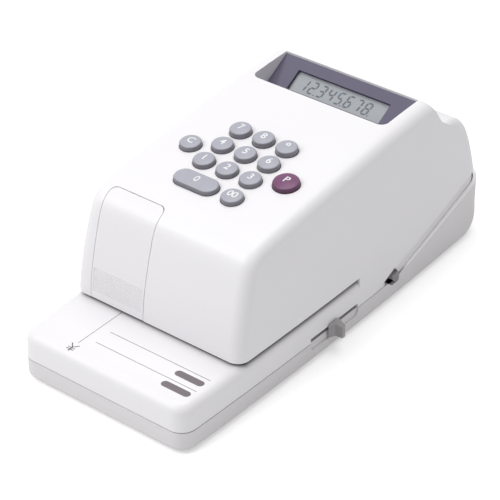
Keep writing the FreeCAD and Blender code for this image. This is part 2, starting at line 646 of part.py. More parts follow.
def battery_contacts():
    x = bay()[2]
    out = [box(s * x - (0.5 if s > 0 else 0), s * x + (0 if s > 0 else 0.5), y - 5, y + 5, z - 6, z + 6).fuse(
        cyl(3.0, (s * (CELL_L + 0.35), y, z), (s, 0, 0), x - CELL_L - 0.5))
        for s in (1, -1) for y, z in cell_axes()]
    return Part.makeCompound(out)


# ---- printing unit ----
WHEEL_Z = TABLE_Z + WHEEL_CLEAR + WHEEL_R
INK_Z = WHEEL_Z + WHEEL_R + 0.3 + INK_R
FEED_Z = TABLE_Z + FEED_CLEAR + FEED_R
FRONT_PLATE_Y = WHEEL_Y - 16.0
REAR_PLATE_Y = WHEEL_Y + 20.0
MOTOR_PLATE_Y = REAR_PLATE_Y + 13.0
GEAR_Y1 = REAR_PLATE_Y + PLATE_T + 1.0
GEAR_Y2 = GEAR_Y1 + GEAR_W + 1.5
PLATE_Z = HEAD_Z + 2.0


def on_circle(x, z, r, deg):
    return x + r * math.cos(math.radians(deg)), z + r * math.sin(math.radians(deg))


MESH = 0.06            # added to the gears' centre distance
WM = on_circle(WHEEL_X, WHEEL_Z, MODULE * (WHEEL_N + PINION_N) / 2 + MESH, WHEEL_MOTOR_DEG)
FM = on_circle(FEED_X, FEED_Z, MODULE * (FEED_N + PINION_N) / 2 + MESH, FEED_MOTOR_DEG)


def gear(n, x, z, y, deg):
    # involute spur gear on an axis along Y, with a tooth centred at deg
    rp, base = MODULE * n / 2, MODULE * n / 2 * math.cos(math.radians(20))
    tip, root = rp + 0.9 * MODULE, rp - 1.15 * MODULE

    def half(r):
        a, ap = math.acos(min(1.0, base / r)), math.radians(20)
        return 0.225 * 2 * math.pi / n + (math.tan(ap) - ap) - (math.tan(a) - a)
    flank = [(root, half(base))] + [(r, half(r)) for r in [max(base, root) + (tip - max(base, root)) * i / 3.0
                                                          for i in range(4)]]
    pts = []
    for k in range(n):
        c = math.radians(deg) + 2 * math.pi * k / n
        pts += [(r, c - h) for r, h in flank] + [(r, c + h) for r, h in reversed(flank)]
    ring = [V(x + r * math.cos(a), y, z + r * math.sin(a)) for r, a in pts]
    return Part.Face(Part.makePolygon(ring + [ring[0]])).extrude(V(0, GEAR_W, 0))


def wheel_gear():
    s = gear(WHEEL_N, WHEEL_X, WHEEL_Z, GEAR_Y1, WHEEL_MOTOR_DEG - 180.0 / WHEEL_N)
    return s.cut(cyl_y(SHAFT_R, WHEEL_X, -200, 100, WHEEL_Z))


def feed_gear():
    s = gear(FEED_N, FEED_X, FEED_Z, GEAR_Y2, FEED_MOTOR_DEG - 180.0 / FEED_N)
    return s.cut(cyl_y(SHAFT_R, FEED_X, -200, 100, FEED_Z))


def pinion(at, y, deg):
    g = gear(PINION_N, at[0], at[1], y, deg + 180.0)
    return g.fuse(cyl_y(MOTOR_PIN_R, at[0], y, MOTOR_PLATE_Y + PLATE_T + MOTOR_L - 4, at[1]))


def motor(at):
    y = MOTOR_PLATE_Y + PLATE_T
    s = cyl_y(MOTOR_R, at[0], y, y + MOTOR_L, at[1])
    s = s.makeFillet(1.0, [e for e in s.Edges if e.Closed and abs(e.Vertexes[0].Point.y - y - MOTOR_L) < 0.01])
    return s.cut(cyl_y(MOTOR_PIN_R + FIT, at[0], y - 1, y + MOTOR_L - 3.5, at[1]))


def shaft(x, z, y1):
    ring = cyl_y(SHAFT_R + 1.1, x, FRONT_PLATE_Y - 1.2, FRONT_PLATE_Y - 0.4, z)
    return cyl_y(SHAFT_R, x, FRONT_PLATE_Y - 2, y1, z).fuse(ring)


def type_wheel():
    y0 = WHEEL_Y - WHEEL_W / 2
    rim = WHEEL_R - TYPE_H
    s = [cyl_y(rim, WHEEL_X, y0, y0 + WHEEL_W, WHEEL_Z), cyl_y(5, WHEEL_X, y0 - 4, y0 + WHEEL_W + 4, WHEEL_Z)]
    for k in range(TYPE_N):
        b = box(-1.7, 1.7, y0 + 1, y0 + WHEEL_W - 1, rim - 0.8, math.sqrt(WHEEL_R ** 2 - 1.7 ** 2))
        b.rotate(V(0, 0, 0), V(0, 1, 0), 360.0 * k / TYPE_N)
        b.translate(V(WHEEL_X, 0, WHEEL_Z))
        s.append(b)
    return fuse(s).cut(cyl_y(SHAFT_R, WHEEL_X, -200, 100, WHEEL_Z))


def ink_core():
    y0, y1 = REAR_PLATE_Y - 30, REAR_PLATE_Y - GAP
    s = fuse([cyl_y(3.2, WHEEL_X, y0, y1, INK_Z), cyl_y(6.0, WHEEL_X, y0 - 3, y0, INK_Z),
              cyl_y(5.0, WHEEL_X, WHEEL_Y + INK_W / 2, WHEEL_Y + INK_W / 2 + 1.5, INK_Z)])
    return s.cut(cyl_y(INK_PIN_R + FIT, WHEEL_X, y0 - 1, 100, INK_Z))


def ink_roller():
    s = cyl_y(INK_R, WHEEL_X, WHEEL_Y - INK_W / 2, WHEEL_Y + INK_W / 2, INK_Z)
    return s.cut(cyl_y(3.2, WHEEL_X, -200, 100, INK_Z))


def feed_roller():
    s = cyl_y(FEED_R, FEED_X, WHEEL_Y - FEED_W / 2, WHEEL_Y + FEED_W / 2, FEED_Z)
    return s.cut(cyl_y(SHAFT_R, FEED_X, -200, 100, FEED_Z))


def unit_frame():
    xl, xr, xm = WHEEL_X - WHEEL_R - 4, FM[0] + MOTOR_R + 4, FEED_X + FEED_R + 5
    low = PLATE_Z
    s = [box(xl, xm, FRONT_PLATE_Y, FRONT_PLATE_Y + PLATE_T, low, INK_Z - INK_R - 3),
         box(xl, xr, REAR_PLATE_Y, REAR_PLATE_Y + PLATE_T, low, INK_Z + 8),
         box(xl, xr, MOTOR_PLATE_Y, MOTOR_PLATE_Y + PLATE_T, low, WM[1] + MOTOR_R + 3),
         box(xl, xl + 3, FRONT_PLATE_Y, MOTOR_PLATE_Y + PLATE_T, low, low + PLATE_T),
         box(xr - 3, xr, REAR_PLATE_Y, MOTOR_PLATE_Y + PLATE_T, low, low + PLATE_T),
         box(xm - 3, xm, FRONT_PLATE_Y, REAR_PLATE_Y + PLATE_T, low, low + PLATE_T),
         cyl_y(2.0, xl + 2.5, FRONT_PLATE_Y, MOTOR_PLATE_Y + PLATE_T, INK_Z - INK_R - 6),
         cyl_y(INK_PIN_R, WHEEL_X, REAR_PLATE_Y - 28, REAR_PLATE_Y + PLATE_T, INK_Z)]
    cut = [cyl_y(SHAFT_R + FIT, WHEEL_X, -200, 100, WHEEL_Z), cyl_y(SHAFT_R + FIT, FEED_X, -200, 100, FEED_Z)]
    cut += [cyl_y(MOTOR_PIN_R + 0.4, m[0], MOTOR_PLATE_Y - 1, 100, m[1]) for m in (WM, FM)]
    return fuse(s).cut(Part.makeCompound(cut))


def slot_plate():
    s = body(WALL + 0.3).common(box(-80, 80, HEAD_Y, SLOT_END + WALL, HEAD_Z, PLATE_Z))
    cw = math.sqrt(WHEEL_R ** 2 - (WHEEL_Z - PLATE_Z) ** 2) + 1.2
    cf = math.sqrt(FEED_R ** 2 - (FEED_Z - PLATE_Z) ** 2) + 1.2
    cut = [box(WHEEL_X - cw, WHEEL_X + cw, WHEEL_Y - WHEEL_W / 2 - 1, WHEEL_Y + WHEEL_W / 2 + 1, 0, 90),
           box(FEED_X - cf, FEED_X + cf, WHEEL_Y - FEED_W / 2 - 1, WHEEL_Y + FEED_W / 2 + 1, 0, 90)]
    cut += [plate_screw(x, y, 0.05) for x, y in mirror_spots(PLATE_SCREW_AT)]
    return s.cut(Part.makeCompound(cut))


def plate_screw(x, y, grow):
    head = Part.makeCone(2.6 + grow, 1.25 + grow, 1.35, V(x, y, HEAD_Z))
    return head.fuse(cyl_z(1.25 + grow, x, y, HEAD_Z + 1.35, HEAD_Z + 10))


# ---- under the table ----
PRESS_Z = FEED_Z - FEED_R - PRESS_GAP - PRESS_R
BRACKET_Z = PRESS_Z - PRESS_R - 4.5
SLIDE_X0 = 49.0
SLIDE_X1 = 56.5
SLIDE_Z = 6.5
FOOT_GAP = 0.5
SWITCH_X0 = 50.0
SWITCH_X1 = 58.2


def bracket_box():
    return 6.0, WHEEL_Y - FEED_W / 2 - 3, WHEEL_Y + FEED_W / 2 + 3


def pressure_bracket():
    bx, y0, y1 = bracket_box()
    z = BRACKET_Z
    s = fuse([box(FEED_X - bx, FEED_X + bx, y0, y1, z, z + 1.5),
              box(FEED_X - bx, FEED_X + bx, y0, y0 + 1.5, z, PRESS_Z + 3.5),
              box(FEED_X - bx, FEED_X + bx, y1 - 1.5, y1, z, PRESS_Z + 3.5),
              box(FEED_X + bx - 1, SLIDE_X1 - 2, WHEEL_Y - 4, WHEEL_Y + 4, z, z + 1.5)])
    return s.cut(cyl_y(PRESS_PIN_R, FEED_X, -200, 100, PRESS_Z))


def pressure_pin():
    bx, y0, y1 = bracket_box()
    return cyl_y(PRESS_PIN_R, FEED_X, y0 - 0.2, y1 + 0.2, PRESS_Z)


def pressure_roller():
    s = cyl_y(PRESS_R, FEED_X, WHEEL_Y - FEED_W / 2, WHEEL_Y + FEED_W / 2, PRESS_Z)
    return s.cut(cyl_y(PRESS_PIN_R + FIT, FEED_X, -200, 100, PRESS_Z))


def release_lever():
    top = BRACKET_Z - FOOT_GAP
    y0, y1 = WHEEL_Y - 26, WHEEL_Y + 22
    ramp = prism_x([(y0, SLIDE_Z), (y1, SLIDE_Z), (y1, top - RAMP * (y1 - WHEEL_Y)),
                    (y0, top - RAMP * (y0 - WHEEL_Y))], SLIDE_X0, SLIDE_X1 - 0.6)
    bar = box(SLIDE_X0, SLIDE_X1 - 0.6, y1, LEVER_Y + 6, SLIDE_Z, SLIDE_Z + 2.4)
    y, wall = LEVER_Y, side_x(LEVER_Y)
    riser = box(SLIDE_X1 - 3, SLIDE_X1, y - 3, y + 3, SLIDE_Z, CHANNEL_TOP - 0.3)
    neck = box(SLIDE_X1 - 1, wall + 1.5, y - 3, y + 3, CHANNEL_Z0 + 0.3, CHANNEL_TOP - 0.3)
    # finger tab with a slanted front foot
    plan_pts = [(wall + 0.45, y - 4.2), (wall + 2.6, y - 0.1), (wall + LEVER_OUT, y + 0.3),
                (wall + LEVER_OUT, y + 3.1), (wall + 0.45, y + 5.2)]
    ring = [V(px, py, LEVER_Z0) for px, py in plan_pts]
    knob = Part.Face(Part.makePolygon(ring + [ring[0]])).extrude(V(0, 0, LEVER_Z1 - LEVER_Z0))
    knob = knob.makeFillet(0.7, pick(knob, lambda v, m, e: abs(v[0].z - v[1].z) > 5 and m.x > wall + 5))
    slant = Part.makePolygon([V(wall, y - 9, LEVER_Z1), V(wall + 9, y - 9, LEVER_Z1 - 2.0),
                              V(wall + 9, y - 9, LEVER_Z1 + 5), V(wall, y - 9, LEVER_Z1 + 5), V(wall, y - 9, LEVER_Z1)])
    return fuse([ramp, bar, riser, neck, knob.cut(Part.Face(slant).extrude(V(0, 20, 0)))])


def hammer():
    top = TABLE_Z - 0.3
    head = box(WHEEL_X - 5, WHEEL_X + 5, WHEEL_Y - 5, WHEEL_Y + 5, top - 3, top)
    return head.fuse(cyl_z(HAMMER_R, WHEEL_X, WHEEL_Y, 8.0, top - 2.5))


def hammer_coil():
    s = cyl_z(COIL_R, WHEEL_X, WHEEL_Y, FLOOR_Z, TABLE_Z - 6)
    s = s.fuse(box(WHEEL_X - COIL_R - 2, WHEEL_X + COIL_R + 2, WHEEL_Y - 6, WHEEL_Y + 6, FLOOR_Z, FLOOR_Z + 1.5))
    return s.cut(cyl_z(HAMMER_R + FIT, WHEEL_X, WHEEL_Y, 0, 40))


# ---- switch ----
KNOB_Y = SWITCH_Y1 - SWITCH_L / 2 - 0.4
KNOB_Z = SWITCH_Z0 + SWITCH_H / 2 + 1.0


def power_knob():
    x0, x1 = SWITCH_X1 + GAP, side_x(KNOB_Y) + SWITCH_OUT
    y0, y1, z0, z1 = KNOB_Y - SWITCH_L / 2, KNOB_Y + SWITCH_L / 2, KNOB_Z - SWITCH_H / 2, KNOB_Z + SWITCH_H / 2
    s = prism_x([(y0, z0 + SWITCH_CUT), (y0, z1), (y1, z1), (y1, z0), (y0 + SWITCH_CUT, z0)], x0, x1)
    s = s.makeChamfer(0.4, pick(s, lambda v, m, e: all(abs(p.x - x1) < 1e-3 for p in v)))
    for i in range(3):
        s = s.cut(box(x1 - 0.5, x1 + 1, y0 + 1.3 + 1.7 * i, y0 + 2.0 + 1.7 * i, z0 - 1, z1 + 1))
    return s.fuse(box(SWITCH_X1 - 4, x0 + 0.5, KNOB_Y - 1.2, KNOB_Y + 1.2, KNOB_Z - 1.2, KNOB_Z + 1.2))


def switch_body():
    s = box(SWITCH_X0, SWITCH_X1, SWITCH_Y0 + 4, SWITCH_Y1 + 2, SWITCH_Z0 - 2, KNOB_Z + 3.6)
    return s.cut(box(SWITCH_X1 - 4.4, SWITCH_X1 + 1, KNOB_Y - 1.55 - SWITCH_TRAVEL, KNOB_Y + 1.55,
                     KNOB_Z - 1.55, KNOB_Z + 1.55))


# ---- display, boards, fasteners ----
def display_lens():
    s = pocket(-0.25, LENS_T).common(on_lens(box(-60, 60, -60, 10, -LENS_T, 0)))
    return s


def lcd_module():
    glass = lcd_box(0.9, -LENS_T - 2.0, -LENS_T - 0.1)
    frame = on_lens(box(-LCD_W / 2 - 8, LCD_W / 2 + 8, -LCD_U - LCD_H - 5, 5 - LCD_U,
                        -LENS_T - WALL - 3.5, -LENS_T - WALL))
    neck = lcd_box(0.6, -LENS_T - WALL - 1, -LENS_T - 1.5)
    return fuse([glass, frame, neck])


def main_board():
    (xa, ya), (xb, yb) = POST_AT
    s = [box(-xa - 5, xa + 5, ya - 6, yb + 6, POST_Z, POST_Z + BOARD_T)]
    t = POST_Z + BOARD_T
    s += [box(-12, 6, 80, 98, t, t + 2.0), box(15, 27, 70, 78, t, t + 1.6), box(-34, -22, 62, 70, t, t + 1.6),
          box(-30, 10, 109, 114, t, t + 6.0), box(20, 34, 104, 114, t, t + 9.0),
          cyl_z(4.0, -30, 90, t, t + 11), cyl_z(4.0, -30, 100, t, t + 11), cyl_z(2.5, 30, 92, t, t + 8)]
    return fuse(s).cut(Part.makeCompound([cyl_z(1.4, x, y, 0, 90) for x, y in mirror_spots(POST_AT)]))


def main_screws():
    z = POST_Z + BOARD_T
    return Part.makeCompound([cyl_z(2.4, x, y, z, z + 1.6).fuse(cyl_z(1.2, x, y, z - 8, z))
                              for x, y in mirror_spots(POST_AT)])


def case_screws():
    return Part.makeCompound([cyl_z(2.9, x, y, 3.4, 5.5).cut(box(x - 0.5, x + 0.5, y - 2, y + 2, 0, 4.2)).fuse(
        cyl_z(SCREW_R, x, y, 5.5, 20)) for x, y in mirror_spots(BOSS_AT)])


def plate_screws():
    return Part.makeCompound([plate_screw(x, y, 0.0).cut(box(x - 0.4, x + 0.4, y - 2, y + 2, 0, HEAD_Z + 0.6))
                              for x, y in mirror_spots(PLATE_SCREW_AT)])


def feet():
    out = []
    for x, y in mirror_spots(FOOT_AT) + [(0.0, 0.0)]:
        s = cyl_z(FOOT_R, x, y, 0, FOOT_H)
        out.append(s.makeFillet(0.6, [e for e in s.Edges if e.Closed and e.Vertexes[0].Point.z < 0.01]))
    return Part.makeCompound(out)


parts = {
    "lower_case": lower_case(), "upper_case": upper_case(), "slot_plate": slot_plate(), "ink_cover": ink_cover(),
    "display_lens": display_lens(), "lcd_module": lcd_module(), "key_mat": key_mat(), "key_board": key_board(),
    "board_screws": board_screws(), "main_board": main_board(), "main_screws": main_screws(),
    "release_lever": release_lever(), "power_knob": power_knob(), "switch_body": switch_body(), "feet": feet(),
    "case_screws": case_screws(), "plate_screws": plate_screws(), "battery_door": battery_door(), "door_screw": door_screw(),
    "cells": cells(),
    "battery_contacts": battery_contacts(), "unit_frame": unit_frame(),
    "wheel_shaft": shaft(WHEEL_X, WHEEL_Z, GEAR_Y1 + GEAR_W + 0.5), "type_wheel": type_wheel(),
    "wheel_gear": wheel_gear(), "ink_core": ink_core(), "ink_roller": ink_roller(),
    "feed_shaft": shaft(FEED_X, FEED_Z, GEAR_Y2 + GEAR_W + 0.5), "feed_roller": feed_roller(),
    "feed_gear": feed_gear(), "pressure_bracket": pressure_bracket(), "pressure_pin": pressure_pin(),
    "pressure_roller": pressure_roller(), "hammer": hammer(), "hammer_coil": hammer_coil(),
    "wheel_motor": motor(WM), "wheel_pinion": pinion(WM, GEAR_Y1, WHEEL_MOTOR_DEG),
    "feed_motor": motor(FM), "feed_pinion": pinion(FM, GEAR_Y2, FEED_MOTOR_DEG),
}
for name, u, v, dia, half in KEYS:
    parts["key_" + name] = key_cap(u, v, dia, half)

for name, shape in parts.items():
    shape.exportStep("parts/" + name + ".step")
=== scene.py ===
import bmesh
import bpy
import math
from mathutils import Matrix, Vector


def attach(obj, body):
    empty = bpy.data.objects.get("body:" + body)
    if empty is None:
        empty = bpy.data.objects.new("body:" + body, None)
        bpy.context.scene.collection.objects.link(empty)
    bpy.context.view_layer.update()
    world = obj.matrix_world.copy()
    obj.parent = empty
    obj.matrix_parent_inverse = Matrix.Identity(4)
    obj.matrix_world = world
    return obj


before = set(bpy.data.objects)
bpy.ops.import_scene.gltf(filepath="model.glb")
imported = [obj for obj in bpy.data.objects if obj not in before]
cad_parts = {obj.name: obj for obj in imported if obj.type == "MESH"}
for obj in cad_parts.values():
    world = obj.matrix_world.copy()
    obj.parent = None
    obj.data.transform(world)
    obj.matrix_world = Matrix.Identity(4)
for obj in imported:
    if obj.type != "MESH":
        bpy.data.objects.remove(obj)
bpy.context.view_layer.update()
mm = 0.001


# Lower shell and battery door. Injection-moulded plastic, slightly greyer than the
# rest, with the fine matt grain that spark erosion leaves in a steel mould. A painted
# highlight pales its rim where it climbs to the rear, and painted shade darkens the
# seam crease ahead of that.
def shader_group(name, inputs, outputs):
    """An empty node group; returns it with its input and output nodes."""
    group = bpy.data.node_groups.new(name, "ShaderNodeTree")
    for label, kind, start in inputs:
        socket = group.interface.new_socket(label, in_out="INPUT", socket_type=kind)
        socket.default_value = start
    for label, kind in outputs:
        group.interface.new_socket(label, in_out="OUTPUT", socket_type=kind)
    return group, group.nodes.new("NodeGroupInput"), group.nodes.new("NodeGroupOutput")


def add_node(tree, kind, settings=(), **links):
    """A node with plain settings, and inputs that are either numbers or other nodes' sockets."""
    node = tree.nodes.new(kind)
    for key, value in settings:
        setattr(node, key, value)
    for key, value in links.items():
        socket = node.inputs[int(key[1:]) if key[1:].isdigit() else key.replace("_", " ")]
        if isinstance(value, bpy.types.NodeSocket):
            tree.links.new(value, socket)
        else:
            socket.default_value = value
    return node


def maths(tree, operation, *values):
    """The result of a Math node on numbers or other nodes' sockets."""
    numbered = {"_%d" % place: value for place, value in enumerate(values)}
    return add_node(tree, "ShaderNodeMath", [("operation", operation)], **numbered).outputs[0]


mould_grain, given, result = shader_group(
    "mould_grain",
    [("Color", "NodeSocketColor", (0.8, 0.8, 0.8, 1)), ("Tone", "NodeSocketFloat", 0.03),
     ("Roughness", "NodeSocketFloat", 0.45), ("Grain", "NodeSocketFloat", 2600.0)],
    [("Color", "NodeSocketColor"), ("Roughness", "NodeSocketFloat"), ("Height", "NodeSocketFloat")])
place = add_node(mould_grain, "ShaderNodeTexCoord").outputs["Object"]
pits = add_node(mould_grain, "ShaderNodeTexNoise", Vector=place, Scale=given.outputs["Grain"], Detail=2.0)
clouds = add_node(mould_grain, "ShaderNodeTexNoise", Vector=place, Scale=22.0, Detail=3.0)
drift = maths(mould_grain, "MULTIPLY_ADD", clouds.outputs["Fac"], given.outputs["Tone"], 1.0)
centred = maths(mould_grain, "MULTIPLY_ADD", given.outputs["Tone"], -0.5, drift)
toned = add_node(mould_grain, "ShaderNodeVectorMath", [("operation", "SCALE")],
                 _0=given.outputs["Color"], Scale=centred)
sheen = maths(mould_grain, "MULTIPLY_ADD", clouds.outputs["Fac"], 0.10, given.outputs["Roughness"])
sheen = maths(mould_grain, "SUBTRACT", sheen, 0.05)
mould_grain.links.new(toned.outputs[0], result.inputs["Color"])
mould_grain.links.new(sheen, result.inputs["Roughness"])
mould_grain.links.new(pits.outputs["Fac"], result.inputs["Height"])


def finish(name, group, relief, given_values, **fixed):
    """A material: one effect group into one Principled shader, with a bump of that many metres."""
    material = bpy.data.materials.new(name)
    material.use_nodes = True
    tree = material.node_tree
    skin = tree.nodes["Principled BSDF"]
    effect = tree.nodes.new("ShaderNodeGroup")
    effect.node_tree = group
    for key, value in given_values.items():
        effect.inputs[key].default_value = value
    for socket in effect.outputs:
        if socket.name == "Color":
            tree.links.new(socket, skin.inputs["Base Color"])
        elif socket.name == "Height":
            bump = add_node(tree, "ShaderNodeBump", Height=socket, Strength=1.0, Distance=relief)
            tree.links.new(bump.outputs[0], skin.inputs["Normal"])
        else:
            tree.links.new(socket, skin.inputs[socket.name])
    for key, value in fixed.items():
        skin.inputs[key.replace("_", " ")].default_value = value
    return material


def wear(material, *names):
    """Gives CAD nodes their finish."""
    for name in names:
        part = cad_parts[name]
        part.data.materials.clear()
        part.data.materials.append(material)


RIM_Z, RIM_Y, RIM_RISE = 14.5 * mm, 49.5 * mm, 0.275
HIGHLIGHT_TO, CREASE_SHADE_TO = 1.1 * mm, 0.4 * mm

rimmed, given, result = shader_group(
    "rimmed",
    [("Color", "NodeSocketColor", (0.755, 0.735, 0.748, 1)),
     ("Rim highlight", "NodeSocketColor", (0.93, 0.92, 0.93, 1)),
     ("Crease shade", "NodeSocketColor", (0.16, 0.15, 0.16, 1)),
     ("Height", "NodeSocketFloat", RIM_Z), ("Start", "NodeSocketFloat", RIM_Y),
     ("Rise", "NodeSocketFloat", RIM_RISE)],
    [("Color", "NodeSocketColor"), ("Roughness", "NodeSocketFloat"), ("Height", "NodeSocketFloat")])
place = add_node(rimmed, "ShaderNodeTexCoord").outputs["Object"]
spot = add_node(rimmed, "ShaderNodeSeparateXYZ", Vector=place)
climb = maths(rimmed, "SUBTRACT", spot.outputs["Y"], given.outputs["Start"])
climb = maths(rimmed, "MAXIMUM", climb, 0.0)
climb = maths(rimmed, "MULTIPLY_ADD", climb, given.outputs["Rise"], given.outputs["Height"])
under = maths(rimmed, "SUBTRACT", climb, spot.outputs["Z"])
# Painted highlight: behind RIM_Y the top of the rim is coloured pale, in place of the light its bevel
# catches.
highlight_mask = add_node(rimmed, "ShaderNodeMapRange", Value=under, From_Min=HIGHLIGHT_TO, From_Max=HIGHLIGHT_TO - 0.3 * mm)
rear = add_node(rimmed, "ShaderNodeMapRange", Value=spot.outputs["Y"],
                From_Min=RIM_Y + 0.5 * mm, From_Max=RIM_Y + 10.5 * mm)
highlight_mask = maths(rimmed, "MULTIPLY", highlight_mask.outputs[0], rear.outputs[0])
rim_painted_light = add_node(rimmed, "ShaderNodeMix", [("data_type", "RGBA")],
                 _0=highlight_mask, _6=given.outputs["Color"], _7=given.outputs["Rim highlight"])
# Painted shade: ahead of RIM_Y the rim just under the seam is coloured dark, in place of the shadow in the
# seam gap.
crease_shade_mask = add_node(rimmed, "ShaderNodeMapRange", Value=under, From_Min=CREASE_SHADE_TO, From_Max=CREASE_SHADE_TO / 2)
level = maths(rimmed, "SUBTRACT", 1.0, rear.outputs[0])
crease_shade_mask = maths(rimmed, "MULTIPLY", crease_shade_mask.outputs[0], level)
rim_painted_light = add_node(rimmed, "ShaderNodeMix", [("data_type", "RGBA")],
                 _0=crease_shade_mask, _6=rim_painted_light.outputs[2], _7=given.outputs["Crease shade"])
grain = add_node(rimmed, "ShaderNodeGroup", [("node_tree", mould_grain)], Color=rim_painted_light.outputs[2],
                 Tone=0.03, Roughness=0.42, Grain=2200.0)
for socket in grain.outputs:
    rimmed.links.new(socket, result.inputs[socket.name])
wear(finish("base_plastic", rimmed, 0.00003, {}, IOR=1.5), "lower_case", "battery_door")

# Feet. Five die-cut discs of black foam rubber, four at the corners and one under the
# keys, that keep the machine from sliding when a check is pushed in.
rubber_speck, given, result = shader_group(
    "rubber_speck",
    [("Color", "NodeSocketColor", (0.03, 0.03, 0.03, 1)), ("Bloom", "NodeSocketColor", (0.08, 0.08, 0.08, 1)),
     ("Roughness", "NodeSocketFloat", 0.8), ("Speck", "NodeSocketFloat", 900.0)],
    [("Color", "NodeSocketColor"), ("Roughness", "NodeSocketFloat"), ("Height", "NodeSocketFloat")])
place = add_node(rubber_speck, "ShaderNodeTexCoord").outputs["Object"]
cells = add_node(rubber_speck, "ShaderNodeTexVoronoi", Vector=place, Scale=given.outputs["Speck"])
chalk = add_node(rubber_speck, "ShaderNodeTexNoise", Vector=place, Scale=60.0, Detail=4.0)
bloomed = add_node(rubber_speck, "ShaderNodeMix", [("data_type", "RGBA")],
                   _0=chalk.outputs["Fac"], _6=given.outputs["Color"], _7=given.outputs["Bloom"])
rub = maths(rubber_speck, "MULTIPLY_ADD", chalk.outputs["Fac"], 0.15, given.outputs["Roughness"])
rubber_speck.links.new(bloomed.outputs[2], result.inputs["Color"])
rubber_speck.links.new(rub, result.inputs["Roughness"])
rubber_speck.links.new(cells.outputs["Distance"], result.inputs["Height"])
wear(finish("foot_rubber", rubber_speck, 0.0001, {"Roughness": 0.75}), "feet")

# Battery bay. Four C cells in plain shrink wrap with a bare steel cap and base, two by
# two, between nickel-plated spring strips.
shrink_wrap, given, result = shader_group(
    "shrink_wrap",
    [("Color", "NodeSocketColor", (0.03, 0.03, 0.035, 1)), ("Band", "NodeSocketColor", (0.55, 0.33, 0.10, 1)),
     ("Cap", "NodeSocketColor", (0.60, 0.60, 0.58, 1)), ("Length", "NodeSocketFloat", 0.05)],
    [("Color", "NodeSocketColor"), ("Roughness", "NodeSocketFloat"), ("Metallic", "NodeSocketFloat")])
place = add_node(shrink_wrap, "ShaderNodeTexCoord").outputs["Object"]
across = add_node(shrink_wrap, "ShaderNodeSeparateXYZ", Vector=place)
along = maths(shrink_wrap, "WRAP", across.outputs["X"], given.outputs["Length"], 0.0)
share = maths(shrink_wrap, "DIVIDE", along, given.outputs["Length"])
band = maths(shrink_wrap, "COMPARE", share, 0.82, 0.09)
bare = maths(shrink_wrap, "COMPARE", share, 0.5, 0.478)
bare = maths(shrink_wrap, "SUBTRACT", 1.0, bare)
sleeve = add_node(shrink_wrap, "ShaderNodeMix", [("data_type", "RGBA")],
                  _0=band, _6=given.outputs["Color"], _7=given.outputs["Band"])
sleeve = add_node(shrink_wrap, "ShaderNodeMix", [("data_type", "RGBA")],
                  _0=bare, _6=sleeve.outputs[2], _7=given.outputs["Cap"])
handled = add_node(shrink_wrap, "ShaderNodeTexNoise", Vector=place, Scale=180.0, Detail=3.0)
gloss = maths(shrink_wrap, "MULTIPLY_ADD", handled.outputs["Fac"], 0.2, 0.18)
shrink_wrap.links.new(sleeve.outputs[2], result.inputs["Color"])
shrink_wrap.links.new(gloss, result.inputs["Roughness"])
shrink_wrap.links.new(bare, result.inputs["Metallic"])
wear(finish("cell_wrap", shrink_wrap, 0, {}), "cells")

drawn_metal, given, result = shader_group(
    "drawn_metal",
    [("Color", "NodeSocketColor", (0.5, 0.5, 0.5, 1)), ("Stain", "NodeSocketColor", (0.35, 0.34, 0.33, 1)),
     ("Stained", "NodeSocketFloat", 0.3), ("Roughness", "NodeSocketFloat", 0.3),
     ("Streaks", "NodeSocketVector", (40.0, 3000.0, 3000.0))],
    [("Color", "NodeSocketColor"), ("Roughness", "NodeSocketFloat"), ("Height", "NodeSocketFloat")])
place = add_node(drawn_metal, "ShaderNodeTexCoord").outputs["Object"]
stretched = add_node(drawn_metal, "ShaderNodeVectorMath", [("operation", "MULTIPLY")],
                     _0=place, _1=given.outputs["Streaks"])
lines = add_node(drawn_metal, "ShaderNodeTexNoise", Vector=stretched.outputs[0], Scale=1.0, Detail=3.0)
patches = add_node(drawn_metal, "ShaderNodeTexNoise", Vector=place, Scale=95.0, Detail=5.0)
amount = maths(drawn_metal, "MULTIPLY", patches.outputs["Fac"], given.outputs["Stained"])
stained = add_node(drawn_metal, "ShaderNodeMix", [("data_type", "RGBA")],
                   _0=amount, _6=given.outputs["Color"], _7=given.outputs["Stain"])
dull = maths(drawn_metal, "MULTIPLY_ADD", lines.outputs["Fac"], 0.22, given.outputs["Roughness"])
drawn_metal.links.new(stained.outputs[2], result.inputs["Color"])
drawn_metal.links.new(dull, result.inputs["Roughness"])
drawn_metal.links.new(lines.outputs["Fac"], result.inputs["Height"])
wear(finish("contact_metal", drawn_metal, 0.00001,
            {"Color": (0.66, 0.64, 0.58, 1), "Roughness": 0.16, "Streaks": (2600.0, 60.0, 2600.0)},
            Metallic=1.0),
     "battery_contacts")

# Circuit boards. Green solder resist over copper tracks on glass laminate; the main
# board stands on four posts over the cells, the key board hangs under the keys.
laminate, given, result = shader_group(
    "laminate",
    [("Color", "NodeSocketColor", (0.015, 0.12, 0.045, 1)),
     ("Track", "NodeSocketColor", (0.04, 0.22, 0.07, 1)),
     ("Parts", "NodeSocketColor", (0.02, 0.02, 0.022, 1)), ("Parts above", "NodeSocketFloat", 10.0)],
    [("Color", "NodeSocketColor"), ("Roughness", "NodeSocketFloat"), ("Height", "NodeSocketFloat")])
place = add_node(laminate, "ShaderNodeTexCoord").outputs["Object"]
high = add_node(laminate, "ShaderNodeSeparateXYZ", Vector=place)
tracks = add_node(laminate, "ShaderNodeTexBrick", [("offset", 0.37), ("squash", 0.6)],
                  Vector=place, Scale=170.0, Mortar_Size=0.12, Color1=(0, 0, 0, 1), Color2=(0, 0, 0, 1),
                  Mortar=(1, 1, 1, 1), Brick_Width=1.4, Row_Height=0.33)
etched = add_node(laminate, "ShaderNodeMix", [("data_type", "RGBA")],
                  _0=tracks.outputs["Color"], _6=given.outputs["Color"], _7=given.outputs["Track"])
